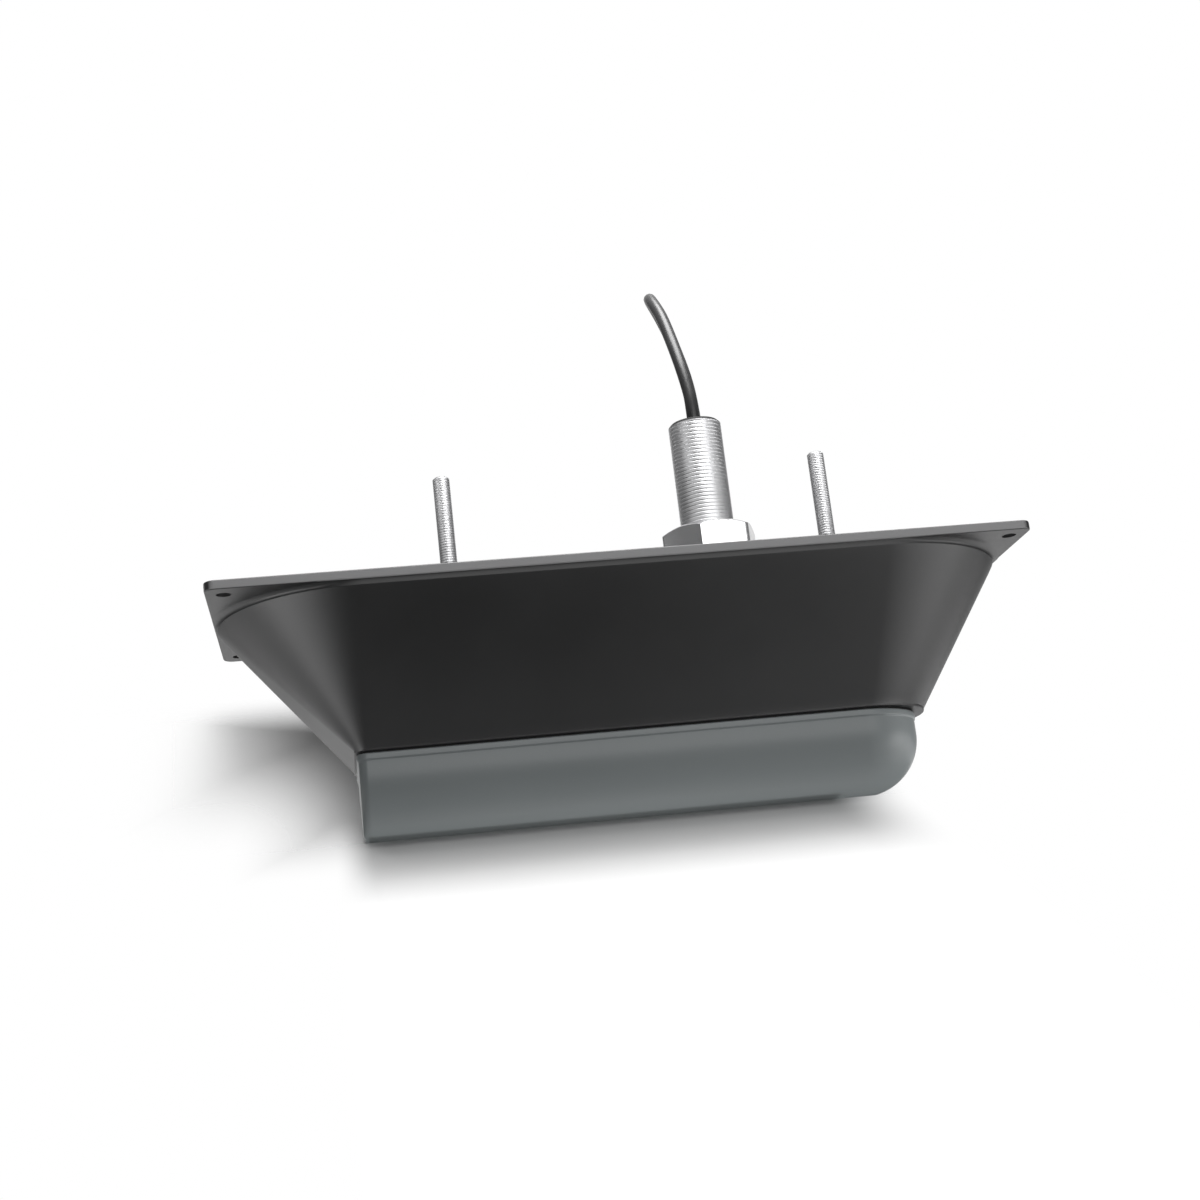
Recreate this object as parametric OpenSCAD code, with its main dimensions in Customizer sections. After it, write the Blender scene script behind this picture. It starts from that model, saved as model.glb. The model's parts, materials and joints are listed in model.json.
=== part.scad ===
// Sonar transducer for mounting through a boat's hull: a moulded fairing hangs from a flange that lies
// against the hull, and a rounded acoustic window closes the fairing's lower end. Two studs and a hollow
// threaded stem pass up through the hull. The window holds the side-looking and down-looking ceramics.
// X runs from stern to bow and Z is up. The origin lies under the middle of the flange, at the window's base.

/* [Flange and fairing] */
// Length of the mounting flange, stern to bow
flange_l = 368; // [350:1:400]
// Width of the mounting flange
flange_w = 133; // [126:1:142]
// Thickness of the flange and of the deck inside it
flange_t = 4.2; // [3.6:0.1:6]
// Corner radius of the flange
flange_corner_r = 5; // [2:0.5:7]
// Diameter of the four corner holes
hole_d = 6.5; // [4.5:0.1:8]
// Corner hole's distance from the flange's short edge
hole_edge_x = 8; // [6:0.5:12]
// Corner hole's distance from the flange's long edge
hole_edge_y = 10; // [6:0.5:12]
// Height of the upright rim under the flange
rim_h = 2.8; // [2:0.1:5]
// Distance of the rim from the flange's stern edge
rim_stern_inset = 1.5; // [1:0.5:6]
// Distance of the rim from the flange's bow edge
rim_bow_inset = 1; // [0.5:0.5:6]
// Distance of the rim from the flange's long edges
rim_side_inset = 0.4; // [0.2:0.1:2]
// Width of the ledge between the rim and the sloping wall
rim_ledge = 0.6; // [0.2:0.1:1.5]
// Height of the sloping fairing, lip to rim
fairing_h = 65.5; // [60:0.5:75]
// Wall thickness of the fairing
fairing_wall = 4; // [3:0.1:5]
// Height of the upright edge at the fairing's lip
lip_land = 1.2; // [0.6:0.1:2]
// How far the lip stands out over the window at the sides and the stern
lip_over = 1.6; // [1:0.1:3]
// How far the lip stands out over the window at the bow
lip_bow_over = 5.4; // [1:0.1:7]

/* [Acoustic window] */
// Length of the window, stern face to bow tip
window_l = 259.2; // [245:0.2:275]
// Distance of the window's stern face behind the middle of the flange
window_stern = 124.4; // [118:0.2:130]
// Width of the window
window_w = 62; // [60:0.5:66]
// Height of the window below its gasket
window_h = 35.2; // [34:0.1:38]
// Radius along the window's lower edges
window_edge_r = 26; // [24:0.5:27]
// Radius of the upright edges at the stern
window_corner_r = 4; // [2:0.5:6]
// Wall thickness of the window
window_wall = 5.5; // [5:0.1:6]
// Height of the raised band round the window's top
band_h = 3; // [2:0.1:5]
// How far the raised band stands out
band_proud = 0.5; // [0.2:0.1:0.8]
// Width of the shoulder that carries the gasket
shoulder_w = 2.5; // [2:0.1:3]
// Height of the collar that rises into the fairing
collar_h = 9; // [5:0.5:14]
// Thickness of the gasket
gasket_t = 0.8; // [0.5:0.1:1.5]

/* [Stem and studs] */
// Place of the stem ahead of the middle of the flange
stem_x = 50; // [44:0.5:56]
// Diameter over the stem's thread
stem_d = 25.4; // [22:0.1:27]
// Height of the stem above the flange
stem_h = 79.2; // [60:0.1:95]
// Bore through the stem
stem_bore_d = 13; // [10:0.5:15]
// Diameter of the stem's head under the backing plate
stem_head_d = 38; // [34:0.5:42]
// Thickness of the stem's head
stem_head_t = 5; // [3:0.5:7]
// Width of the stem's nut across its flats
nut_af = 41.3; // [38:0.1:46]
// Height of the stem's nut
nut_h = 25; // [15:0.5:30]
// Turn of the nut about the stem, in degrees
nut_turn = 10; // [0:1:59]
// Diameter over the studs' threads
stud_d = 8; // [6:0.5:10]
// Height of the studs above the flange
stud_h = 60.5; // [40:0.5:80]
// Place of the stern stud behind the middle of the flange
stud_stern = 74.7; // [68:0.1:82]
// Place of the bow stud ahead of the middle of the flange
stud_bow = 107.6; // [100:0.1:114]
// Diameter of the collar welded on each stud's foot
stud_foot_d = 16; // [14:0.5:20]
// Thickness of the stud's foot
stud_foot_t = 2.5; // [1.5:0.5:4]

/* [Backing plate] */
// Width of the backing plate
plate_w = 60; // [56:1:68]
// Thickness of the backing plate
plate_t = 3; // [2:0.1:4]
// How far the plate runs on past each stud
plate_margin = 18; // [14:1:22]
// Height of the bosses between the deck and the plate
boss_h = 8; // [6:0.5:10]
// Diameter of the screws that hold the plate
plate_screw_d = 4; // [3:0.1:5]

/* [Elements] */
// Angle of the side-looking elements below level
side_tilt = 35; // [28:1:40]
// Height of a side-looking element
side_bar_h = 12; // [9:0.5:13]
// Width of a down-looking element
down_bar_w = 10; // [7:0.5:11]
// Thickness of an element
bar_t = 5; // [3.5:0.1:5.5]
// Number of elements in each row
bar_count = 4; // [2:1:6]
// Gap between elements in a row
bar_gap = 2; // [1:0.5:4]
// Thickness of the matching strip at its middle
strip_t = 1.75; // [1.4:0.05:2.2]
// Thickness of the absorber behind the elements
absorber_t = 3; // [2:0.1:3.4]
// Thickness of the carrier's screw tabs
tab_t = 4; // [3:0.1:5]
// Diameter of the temperature sensor
sensor_d = 8; // [6:0.5:8.5]
// Height of the temperature sensor
sensor_h = 16; // [10:0.5:18]

/* [Circuit board] */
// Length of the circuit board
board_l = 80; // [74:1:84]
// Width of the circuit board
board_w = 40; // [36:1:48]
// Thickness of the circuit board
board_t = 1.6; // [1:0.1:2.4]
// Height of the standoffs that carry the board
standoff_h = 14; // [10:0.5:18]
// Width of the standoffs across their flats
standoff_af = 6; // [5:0.5:7]
// Outer diameter of the tuning coils
toroid_d = 18; // [14:0.5:20]
// Height of the tuning coils
toroid_h = 8; // [5:0.5:10]

/* [Cable] */
// Diameter of the cable
cable_d = 6.4; // [5:0.1:7.5]
// Length of the bung that seals the cable into the stem
bung_l = 14; // [8:0.5:20]
// Diameter of the bung
bung_d = 19; // [16:0.5:20]
// Length of the ferrule crimped on the cable under the stem
ferrule_l = 8; // [5:0.5:12]
// Number of turns across the coil
coil_columns = 5; // [4:1:6]
// Number of layers of turns in the coil
coil_layers = 4; // [3:1:5]
// Diameter of the coil at the middle of its turns
coil_mid_d = 90; // [80:1:100]
// Width of the tie round the coil
tie_w = 12; // [8:0.5:16]
// Thickness of the tie
tie_t = 1.2; // [0.8:0.1:2]
// Diameter of the connector's locking collar
collar_d = 21; // [18:0.5:24]
// Length of the connector's locking collar
collar_l = 16; // [12:0.5:22]
// Diameter of the connector's body
plug_d = 17; // [14:0.5:17.5]
// Length of the connector's body behind its collar
plug_l = 18; // [14:0.5:28]
// Length of the tapered boot on the connector
boot_l = 20; // [16:0.5:30]

/* [Hidden] */
$fn = 64;
hull_fn = 48;
// Clearance of parts that slip together, of screws in their holes, and of cords in their bores
slip = 0.15;
screw_slip = 0.2;
// How far joined shapes run into each other, and how far cuts run past a face
overlap = 0.5;
past = 1;

// Heights
lip_z = window_h + gasket_t;
rim_z = lip_z + fairing_h;
deck_z = rim_z + rim_h;
top_z = deck_z + flange_t;
plate_top = deck_z - boss_h;
plate_z = plate_top - plate_t;
stem_top = top_z + stem_h;
nut_top = top_z + nut_h;

// The rim's plan: two arcs inside the flange
rim_r = flange_w / 2 - rim_side_inset;
rim_stern_x = -flange_l / 2 + rim_stern_inset + rim_r;
rim_bow_x = flange_l / 2 - rim_bow_inset - rim_r;

// The window's plan
window_r = window_w / 2;
stern_x = -window_stern;
bow_x = stern_x + window_l;
bow_mid_x = bow_x - window_r;
lip_r = window_r + lip_over;
lip_stern_x = stern_x - lip_over;
lip_bow_mid_x = bow_x + lip_bow_over - lip_r;

// The deck's fittings
stud_shank_r = stud_d / 2 - 0.5;
stud_hole_r = stud_d / 2 + 0.3;
stem_shank_r = stem_d / 2 - 0.8;
thread_relief = 0.5;
stem_hole_r = stem_d / 2 + 0.1;
stem_ring_r = 1.1;
stud_ring_r = 1;
stem_chamfer = 1.2;
stud_chamfer = 0.8;
plate_stern_x = -stud_stern - plate_margin;
plate_bow_x = stud_bow + plate_margin;
plate_screw_edge = 8;
plate_screw_r = plate_screw_d / 2;
plate_screw_xs = [
    plate_stern_x + plate_screw_edge,
    (stem_x - stud_stern) / 2 - plate_margin,
    plate_bow_x - plate_screw_edge
];
plate_screw_y = plate_w / 2 - plate_screw_edge;
boss_wall = 3;
boss_r = plate_screw_r + boss_wall;
rib_t = 3;
nut_face_d = 0.95 * nut_af;

gasket_edge = 0.5;
bung_sink = 0.8;

// The elements lie round the middle of the window's lower edge radius
edge_y = window_r - window_edge_r;
edge_z = window_edge_r;
strip_out = window_edge_r - window_wall - slip;
bar_face = strip_out - strip_t;
bar_back = bar_face - bar_t;
seat_face = bar_back - absorber_t;
down_strip_z = window_wall + slip;
down_bar_z = down_strip_z + strip_t;
down_absorber_z = down_bar_z + bar_t;
down_seat_z = down_absorber_z + absorber_t;
trough_floor = 3;
trough_z = down_seat_z + trough_floor;
carrier_sink = 3.2;
carrier_top = window_h - carrier_sink;
tab_z = carrier_top - tab_t;
post_r = 4;
post_y = 12;
post_gap = 2;
post_edge = 3;
post_stern_x = stern_x + window_wall + post_edge + post_r;
post_bow_x = bow_mid_x;
carrier_stern_x = post_stern_x + post_r + post_gap;
carrier_bow_x = post_bow_x - post_r - post_gap;
row_edge = 2;
row_l = carrier_bow_x - carrier_stern_x - 2 * row_edge;
bar_l = (row_l - (bar_count - 1) * bar_gap) / bar_count;
trough_w = 12;
tab_screw_r = 1.5;
tab_hole_l = 12;
socket_h = 4;
socket_wall = 2;
sensor_wire_r = 1;

// The circuit board hangs under the plate, between the stern stud and the stem
board_mid_x = (stem_x - stud_stern) / 2;
board_top = plate_z - standoff_h;
board_z = board_top - board_t;
block_l = 8;
block_w = 24;
block_h = 9;
block_edge = 1;
block_x = board_mid_x + board_l / 2 - block_edge - block_l;
header_l = 6;
header_x = board_mid_x - board_l / 2 + block_edge;
standoff_edge = 5;
standoff_xs = [header_x + standoff_edge, block_x - standoff_edge / 2];
standoff_y = board_w / 2 - standoff_edge;
standoff_pin_r = 1.9;
board_screw_r = 1.4;
board_hole_l = 8;
toroid_count = 3;
toroid_pitch = (block_x - header_x - header_l) / toroid_count;

// The cable's route: out of the stem, over in an arch, down behind the fairing and onto the coil
cable_r = cable_d / 2;
cable_free_l = 14;
cable_end_z = plate_z - stem_head_t - ferrule_l - cable_free_l;
ferrule_wall = 2.5;
coil_w = coil_columns * cable_d;
coil_h = coil_layers * cable_d;
coil_in_r = coil_mid_d / 2 - coil_w / 2;
coil_out_r = coil_mid_d / 2 + coil_w / 2;
lead_x = 74;
coil_x = lead_x - coil_out_r + cable_r;
coil_y = 136;
tie_turn = 120;
lead_z = coil_h + cable_r;
lead_route = [
    [stem_x, 0, stem_top],
    [stem_x, 0, stem_top + 8],
    [50, 2, 205],
    [49, 8, 221],
    [48, 18, 239],
    [47, 31, 258],
    [46, 47, 274],
    [50, 66, 281],
    [58, 84, 278],
    [66, 97, 267],
    [72, 104, 249],
    [lead_x, 106, 228],
    [lead_x, 106, 200],
    [lead_x, 106, 170],
    [lead_x, 106, 140],
    [lead_x, 106, 110],
    [lead_x, 106, 80],
    [lead_x, 107, 58],
    [lead_x, 112, 43],
    [lead_x, 122, 33],
    [lead_x, coil_y, lead_z]
];
tail_y = coil_y - coil_out_r + cable_r;
plug_z = collar_d / 2;
tail_x = coil_x + 2 * sqrt(cable_r * (coil_out_r - cable_r)) + 0.2;
tail_l = 34;
boot_x = tail_x + tail_l;
plug_x = boot_x + boot_l;
tail_route = [
    [tail_x, tail_y, cable_r],
    [tail_x + 3, tail_y, cable_r],
    [tail_x + 10, tail_y, cable_r + (plug_z - cable_r) * 0.14],
    [tail_x + 17, tail_y, (cable_r + plug_z) / 2],
    [tail_x + 24, tail_y, plug_z - (plug_z - cable_r) * 0.14],
    [boot_x - 3, tail_y, plug_z],
    [boot_x, tail_y, plug_z]
];
element_wire_r = 0.9;
wire_gap = 8;
wire_foot_gap = 4;
wire_lean = 6;
wire_straight = 8;
cable_wire_r = 0.7;
wire_foot_z = board_z - block_h;

// The connector's inside
plug_step = 1.5;
plug_wall = 1.5;
plug_floor = 4;
neck_d = plug_d - 2 * plug_step;
socket_d = neck_d - 2 * plug_wall;
pin_r = 0.6;
pin_edge = 3;
pin_sink = 4;

// Curves and tubes

// A point of the smooth curve through a, b, c and d, at t between b and c
function curve_point(a, b, c, d, t) =
    0.5 * (2 * b + (c - a) * t + (2 * a - 5 * b + 4 * c - d) * t * t + (3 * b - a - 3 * c + d) * t * t * t);
function smooth(route, steps) = [
    for (i = [0 : len(route) - 2])
        for (k = [0 : steps - 1])
            curve_point(
                route[max(i - 1, 0)], route[i], route[i + 1], route[min(i + 2, len(route) - 1)], k / steps
            ),
    route[len(route) - 1]
];
function unit(v) = v / norm(v);
// The way that a line through a route runs at point i: at its ends, along the route's end stretches
function heading(route, line, i) =
    i == 0 ? unit(route[1] - route[0]) :
    i == len(line) - 1 ? unit(route[len(route) - 1] - route[len(route) - 2]) :
    unit(line[i + 1] - line[i - 1]);
// Corners of a ring round middle, square to along, where aside is a direction that the line never takes
function ring(middle, along, r, sides, aside) =
    let (
        across = unit(cross(along, aside)),
        third = cross(along, across)
    )
    [for (k = [0 : sides - 1]) middle + r * (cos(360 * k / sides) * across + sin(360 * k / sides) * third)];

module tube(route, r, sides, steps, aside) {
    line = smooth(route, steps);
    rings = len(line);
    points = [for (i = [0 : rings - 1]) each ring(line[i], heading(route, line, i), r, sides, aside)];
    walls = [
        for (i = [0 : rings - 2])
            for (k = [0 : sides - 1])
                let (next = (k + 1) % sides)
                [i * sides + k, i * sides + next, (i + 1) * sides + next, (i + 1) * sides + k]
    ];
    first = [for (k = [sides - 1 : -1 : 0]) k];
    last = [for (k = [0 : sides - 1]) (rings - 1) * sides + k];
    polyhedron(points, concat([first, last], walls), convexity = 6);
}

// Plan outlines, each drawn in by inset

module flange_outline() {
    x = flange_l / 2 - flange_corner_r;
    y = flange_w / 2 - flange_corner_r;
    for (sx = [-1, 1]) {
        for (sy = [-1, 1]) {
            translate([sx * x, sy * y]) circle(flange_corner_r);
        }
    }
    square([flange_l, 2 * y], center = true);
    square([2 * x, flange_w], center = true);
}

module rim_outline(inset) {
    r = rim_r - inset;
    translate([rim_stern_x, 0]) circle(r);
    translate([rim_bow_x, 0]) circle(r);
    translate([rim_stern_x, -r]) square([rim_bow_x - rim_stern_x, 2 * r]);
}

// A flat stern with rounded corners and a half-round bow
module keel_outline(stern, bow_mid, half, corner) {
    translate([bow_mid, 0]) circle(half);
    for (s = [-1, 1]) {
        translate([stern + corner, s * (half - corner)]) circle(corner);
    }
    translate([stern, corner - half]) square([bow_mid - stern, 2 * (half - corner)]);
    translate([stern + corner, -half]) square([bow_mid - stern - corner, 2 * half]);
}

module lip_outline() {
    keel_outline(lip_stern_x, lip_bow_mid_x, lip_r, window_corner_r + lip_over);
}

module window_outline(inset) {
    keel_outline(stern_x + inset, bow_mid_x, window_r - inset, max(window_corner_r - inset, 0.5));
}

// Fairing

module fairing_loft() {
    hull($fn = hull_fn) {
        translate([0, 0, rim_z]) linear_extrude(rim_h / 2) rim_outline(rim_ledge);
        translate([0, 0, lip_z]) linear_extrude(lip_land) lip_outline();
    }
}

module fairing_cavity() {
    hull($fn = hull_fn) {
        translate([0, 0, rim_z]) linear_extrude(rim_h) rim_outline(rim_ledge + fairing_wall);
        translate([0, 0, lip_z - past]) linear_extrude(lip_land + past) window_outline(shoulder_w);
    }
}

module corner_holes() {
    for (sx = [-1, 1]) {
        for (sy = [-1, 1]) {
            translate([sx * (flange_l / 2 - hole_edge_x), sy * (flange_w / 2 - hole_edge_y), deck_z - past])
                cylinder(d = hole_d, h = flange_t + 2 * past);
        }
    }
}

module at_plate_screws() {
    for (x = plate_screw_xs) {
        for (s = [-1, 1]) {
            translate([x, s * plate_screw_y, 0]) children();
        }
    }
}

module at_studs() {
    for (x = [-stud_stern, stud_bow]) {
        translate([x, 0, 0]) children();
    }
}

// Bosses and ribs under the deck, down to the backing plate
module deck_bosses() {
    translate([0, 0, plate_top]) {
        at_plate_screws() cylinder(r = boss_r, h = boss_h + overlap);
        at_studs() cylinder(d = stud_foot_d, h = boss_h + overlap);
        translate([stem_x, 0, 0]) cylinder(r = stem_head_d / 2 + boss_wall, h = boss_h + overlap);
        translate([-stud_stern, -rib_t / 2, 0]) cube([stud_stern + stud_bow, rib_t, boss_h + overlap]);
        for (x = plate_screw_xs) {
            translate([x - rib_t / 2, -plate_screw_y, 0])
                cube([rib_t, 2 * plate_screw_y, boss_h + overlap]);
        }
    }
}

module deck_bores() {
    translate([0, 0, plate_top - past]) {
        at_plate_screws() cylinder(r = plate_screw_r + slip, h = past + boss_h + overlap);
        at_studs() cylinder(r = stud_hole_r, h = boss_h + flange_t + 2 * past);
        translate([stem_x, 0, 0]) cylinder(r = stem_hole_r, h = boss_h + flange_t + 2 * past);
    }
    at_studs() translate([0, 0, top_z - 2 * stud_ring_r])
        cylinder(r = stud_hole_r + 2 * stud_ring_r + slip, h = flange_t);
    translate([stem_x, 0, top_z - 2 * stem_ring_r])
        cylinder(r = stem_hole_r + 2 * stem_ring_r + 2 * slip, h = flange_t);
}

module fairing_housing() {
    color([0.10, 0.10, 0.11]) difference() {
        union() {
            difference() {
                union() {
                    translate([0, 0, deck_z]) linear_extrude(flange_t) flange_outline();
                    translate([0, 0, rim_z]) linear_extrude(rim_h + overlap) rim_outline(0);
                    fairing_loft();
                }
                fairing_cavity();
            }
            deck_bosses();
        }
        corner_holes();
        deck_bores();
    }
}

// Acoustic window

// Section across the window, with rounded lower edges
module window_section(half, edge_r, height) {
    for (s = [-1, 1]) {
        translate([s * (half - edge_r), edge_r]) circle(edge_r);
    }
    translate([edge_r - half, 0]) square([2 * (half - edge_r), edge_r]);
    translate([-half, edge_r]) square([2 * half, height - edge_r]);
}

// The section run along the keel and turned round the bow, drawn in by inset
module window_form(inset, height) {
    half = window_r - inset;
    edge_r = window_edge_r - inset;
    translate([stern_x + inset, 0, inset]) rotate([90, 0, 90])
        linear_extrude(bow_mid_x - stern_x - inset) window_section(half, edge_r, height);
    translate([bow_mid_x, 0, inset]) rotate([0, 0, -90]) rotate_extrude(angle = 180) intersection() {
        window_section(half, edge_r, height);
        square([half, height]);
    }
}

module at_posts() {
    for (x = [post_stern_x, post_bow_x]) {
        for (s = [-1, 1]) {
            translate([x, s * post_y, 0]) children();
        }
    }
}

module acoustic_window() {
    color([0.42, 0.46, 0.46]) difference() {
        union() {
            intersection() {
                window_form(0, window_h);
                linear_extrude(window_h) window_outline(0);
            }
            translate([0, 0, window_h - band_h]) linear_extrude(band_h) window_outline(-band_proud);
            translate([0, 0, window_h - overlap])
                linear_extrude(collar_h + overlap) window_outline(shoulder_w + slip);
        }
        difference() {
            window_form(window_wall, window_h + collar_h);
            at_posts() cylinder(r = post_r, h = tab_z);
            translate([bow_mid_x, 0, 0])
                cylinder(r = sensor_d / 2 + slip + socket_wall, h = window_wall + socket_h);
        }
        at_posts() translate([0, 0, tab_z + tab_t - tab_hole_l])
            cylinder(r = tab_screw_r + slip, h = tab_hole_l);
        translate([bow_mid_x, 0, window_wall]) cylinder(r = sensor_d / 2 + slip, h = socket_h + past);
    }
}

module window_gasket() {
    color([0.05, 0.05, 0.05]) translate([0, 0, window_h]) linear_extrude(gasket_t) difference() {
        window_outline(gasket_edge);
        window_outline(shoulder_w - slip);
    }
}

// Deck fittings

module plate_outline() {
    r = plate_w / 4;
    for (x = [plate_stern_x + r, plate_bow_x - r]) {
        for (s = [-1, 1]) {
            translate([x, s * (plate_w / 2 - r)]) circle(r);
        }
    }
    translate([plate_stern_x, r - plate_w / 2]) square([plate_bow_x - plate_stern_x, plate_w - 2 * r]);
    translate([plate_stern_x + r, -plate_w / 2]) square([plate_bow_x - plate_stern_x - 2 * r, plate_w]);
}

module backing_plate() {
    color([0.62, 0.63, 0.65]) translate([0, 0, plate_z]) difference() {
        linear_extrude(plate_t) plate_outline();
        translate([0, 0, -past]) {
            at_plate_screws() cylinder(r = plate_screw_r + screw_slip, h = plate_t + 2 * past);
            at_studs() cylinder(r = stud_hole_r, h = plate_t + 2 * past);
            translate([stem_x, 0, 0]) cylinder(r = stem_hole_r, h = plate_t + 2 * past);
            at_standoffs() cylinder(r = standoff_pin_r + slip, h = plate_t + 2 * past);
        }
    }
}

// A pan-head screw with its head's seat at z = 0 and its shank upward
module screw(r, l) {
    head_r = 1.9 * r;
    head_h = 1.3 * r;
    rotate_extrude() polygon([
        [0, -head_h], [head_r * 0.7, -head_h], [head_r, -head_h * 0.4], [head_r, 0],
        [r, 0], [r, l - r / 2], [r / 2, l], [0, l]
    ]);
}

module plate_screws() {
    color([0.70, 0.71, 0.73]) translate([0, 0, plate_z]) at_plate_screws()
        screw(plate_screw_r, plate_t + boss_h);
}

module stem() {
    head_r = stem_head_d / 2;
    thread_r = stem_d / 2;
    bore_r = stem_bore_d / 2;
    seat_r = bung_d / 2 + slip;
    seat_z = stem_top - bung_l;
    thread_z = nut_top + thread_relief;
    color([0.75, 0.76, 0.78]) translate([stem_x, 0, 0]) rotate_extrude() polygon([
        [bore_r, plate_z - stem_head_t], [head_r, plate_z - stem_head_t], [head_r, plate_z],
        [stem_shank_r, plate_z], [stem_shank_r, thread_z], [thread_r, thread_z],
        [thread_r, stem_top - stem_chamfer], [thread_r - stem_chamfer, stem_top],
        [seat_r, stem_top], [seat_r, seat_z], [bore_r, seat_z]
    ]);
}

// A hexagon with its upper and lower corners turned off at 30 degrees
module stem_nut() {
    across = nut_af / cos(30);
    cone_r = across / 2 + past;
    cut = (cone_r - nut_face_d / 2) * tan(30);
    color([0.80, 0.81, 0.83]) translate([stem_x, 0, top_z]) difference() {
        intersection() {
            rotate([0, 0, nut_turn]) cylinder(d = across, h = nut_h, $fn = 6);
            rotate_extrude() polygon([
                [0, 0], [nut_face_d / 2, 0], [cone_r, cut], [cone_r, nut_h - cut],
                [nut_face_d / 2, nut_h], [0, nut_h]
            ]);
        }
        translate([0, 0, -past]) cylinder(r = stem_shank_r + slip, h = nut_h + 2 * past);
    }
}

module o_ring(inner_r, r) {
    rotate_extrude() translate([inner_r + r, r]) circle(r);
}

module stem_o_ring() {
    color([0.06, 0.06, 0.06]) translate([stem_x, 0, top_z - 2 * stem_ring_r])
        o_ring(stem_shank_r + slip, stem_ring_r);
}

module mounting_studs() {
    thread_r = stud_d / 2;
    tip_z = top_z + stud_h;
    thread_z = top_z + thread_relief;
    color([0.72, 0.73, 0.75]) at_studs() rotate_extrude() polygon([
        [0, plate_z - stud_foot_t], [stud_foot_d / 2, plate_z - stud_foot_t], [stud_foot_d / 2, plate_z],
        [stud_shank_r, plate_z], [stud_shank_r, thread_z], [thread_r, thread_z],
        [thread_r, tip_z - stud_chamfer], [thread_r - stud_chamfer, tip_z], [0, tip_z]
    ]);
}

module stud_o_rings() {
    color([0.06, 0.06, 0.06]) translate([0, 0, top_z - 2 * stud_ring_r]) at_studs()
        o_ring(stud_shank_r + slip, stud_ring_r);
}

// Elements and their carrier

// A point d out from the middle of the window's edge radius along the tilt, and s up across it
function tilted(d, s) = [
    edge_y + d * cos(side_tilt) + s * sin(side_tilt),
    edge_z - d * sin(side_tilt) + s * cos(side_tilt)
];
function tilted_box(near, far, h) = [
    tilted(near, -h / 2), tilted(far, -h / 2), tilted(far, h / 2), tilted(near, h / 2)
];

// Runs a section of the YZ plane along X
module along_keel(from, length) {
    translate([from, 0, 0]) rotate([90, 0, 90]) linear_extrude(length) children();
}

module whole_row() {
    along_keel(carrier_stern_x + row_edge, row_l) children();
}

module element_row() {
    for (i = [0 : bar_count - 1]) {
        along_keel(carrier_stern_x + row_edge + i * (bar_l + bar_gap), bar_l) children();
    }
}

module starboard() {
    mirror([0, 1, 0]) children();
}

module side_strip_section() {
    intersection() {
        polygon(tilted_box(bar_face, strip_out + past, side_bar_h));
        translate([edge_y, edge_z]) circle(strip_out);
    }
}

module down_section(low, thick) {
    translate([-down_bar_w / 2, low]) square([down_bar_w, thick]);
}

module element_carrier() {
    up = tilted(seat_face, side_bar_h / 2);
    low = tilted(seat_face, -side_bar_h / 2);
    tab_l = 2 * (post_r + post_gap);
    tab_w = 2 * (post_y + post_r);
    color([0.16, 0.16, 0.17]) difference() {
        union() {
            along_keel(carrier_stern_x, carrier_bow_x - carrier_stern_x) polygon([
                [-up[0], carrier_top], [-up[0], up[1]], [-low[0], low[1]], [-down_bar_w / 2, down_seat_z],
                [down_bar_w / 2, down_seat_z], [low[0], low[1]], [up[0], up[1]], [up[0], carrier_top]
            ]);
            for (x = [post_stern_x, post_bow_x]) {
                translate([x - tab_l / 2, -tab_w / 2, tab_z]) cube([tab_l, tab_w, tab_t]);
            }
        }
        whole_row() translate([-trough_w / 2, trough_z]) square([trough_w, carrier_top]);
        translate([0, 0, tab_z - past]) {
            at_posts() cylinder(r = tab_screw_r + screw_slip, h = tab_t + 2 * past);
            translate([bow_mid_x, 0, 0]) cylinder(r = 2 * sensor_wire_r, h = tab_t + 2 * past);
        }
    }
}

module carrier_screws() {
    color([0.70, 0.71, 0.73]) at_posts() translate([0, 0, carrier_top]) mirror([0, 0, 1])
        screw(tab_screw_r, tab_hole_l - overlap);
}

module port_elements() {
    color([0.86, 0.83, 0.74]) element_row() polygon(tilted_box(bar_back, bar_face, side_bar_h));
}

module starboard_elements() {
    color([0.86, 0.83, 0.74]) starboard() element_row()
        polygon(tilted_box(bar_back, bar_face, side_bar_h));
}

module down_elements() {
    color([0.86, 0.83, 0.74]) element_row() down_section(down_bar_z, bar_t);
}

module port_matching_strip() {
    color([0.55, 0.60, 0.50]) whole_row() side_strip_section();
}

module starboard_matching_strip() {
    color([0.55, 0.60, 0.50]) starboard() whole_row() side_strip_section();
}

module down_matching_strip() {
    color([0.55, 0.60, 0.50]) whole_row() down_section(down_strip_z, strip_t);
}

module port_absorber() {
    color([0.55, 0.40, 0.26]) whole_row() polygon(tilted_box(seat_face, bar_back, side_bar_h));
}

module starboard_absorber() {
    color([0.55, 0.40, 0.26]) starboard() whole_row()
        polygon(tilted_box(seat_face, bar_back, side_bar_h));
}

module down_absorber() {
    color([0.55, 0.40, 0.26]) whole_row() down_section(down_absorber_z, absorber_t);
}

module temperature_sensor() {
    r = sensor_d / 2;
    color([0.80, 0.66, 0.36]) translate([bow_mid_x, 0, window_wall]) rotate_extrude() polygon([
        [0, 0], [r, 0], [r, sensor_h - r / 2], [r / 2, sensor_h], [0, sensor_h]
    ]);
}

// Circuit board

module at_standoffs() {
    for (x = standoff_xs) {
        for (s = [-1, 1]) {
            translate([x, s * standoff_y, 0]) children();
        }
    }
}

module circuit_board() {
    color([0.10, 0.35, 0.20]) translate([0, 0, board_z]) difference() {
        translate([board_mid_x - board_l / 2, -board_w / 2, 0]) cube([board_l, board_w, board_t]);
        translate([0, 0, -past]) at_standoffs()
            cylinder(r = board_screw_r + screw_slip, h = board_t + 2 * past);
    }
}

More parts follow.
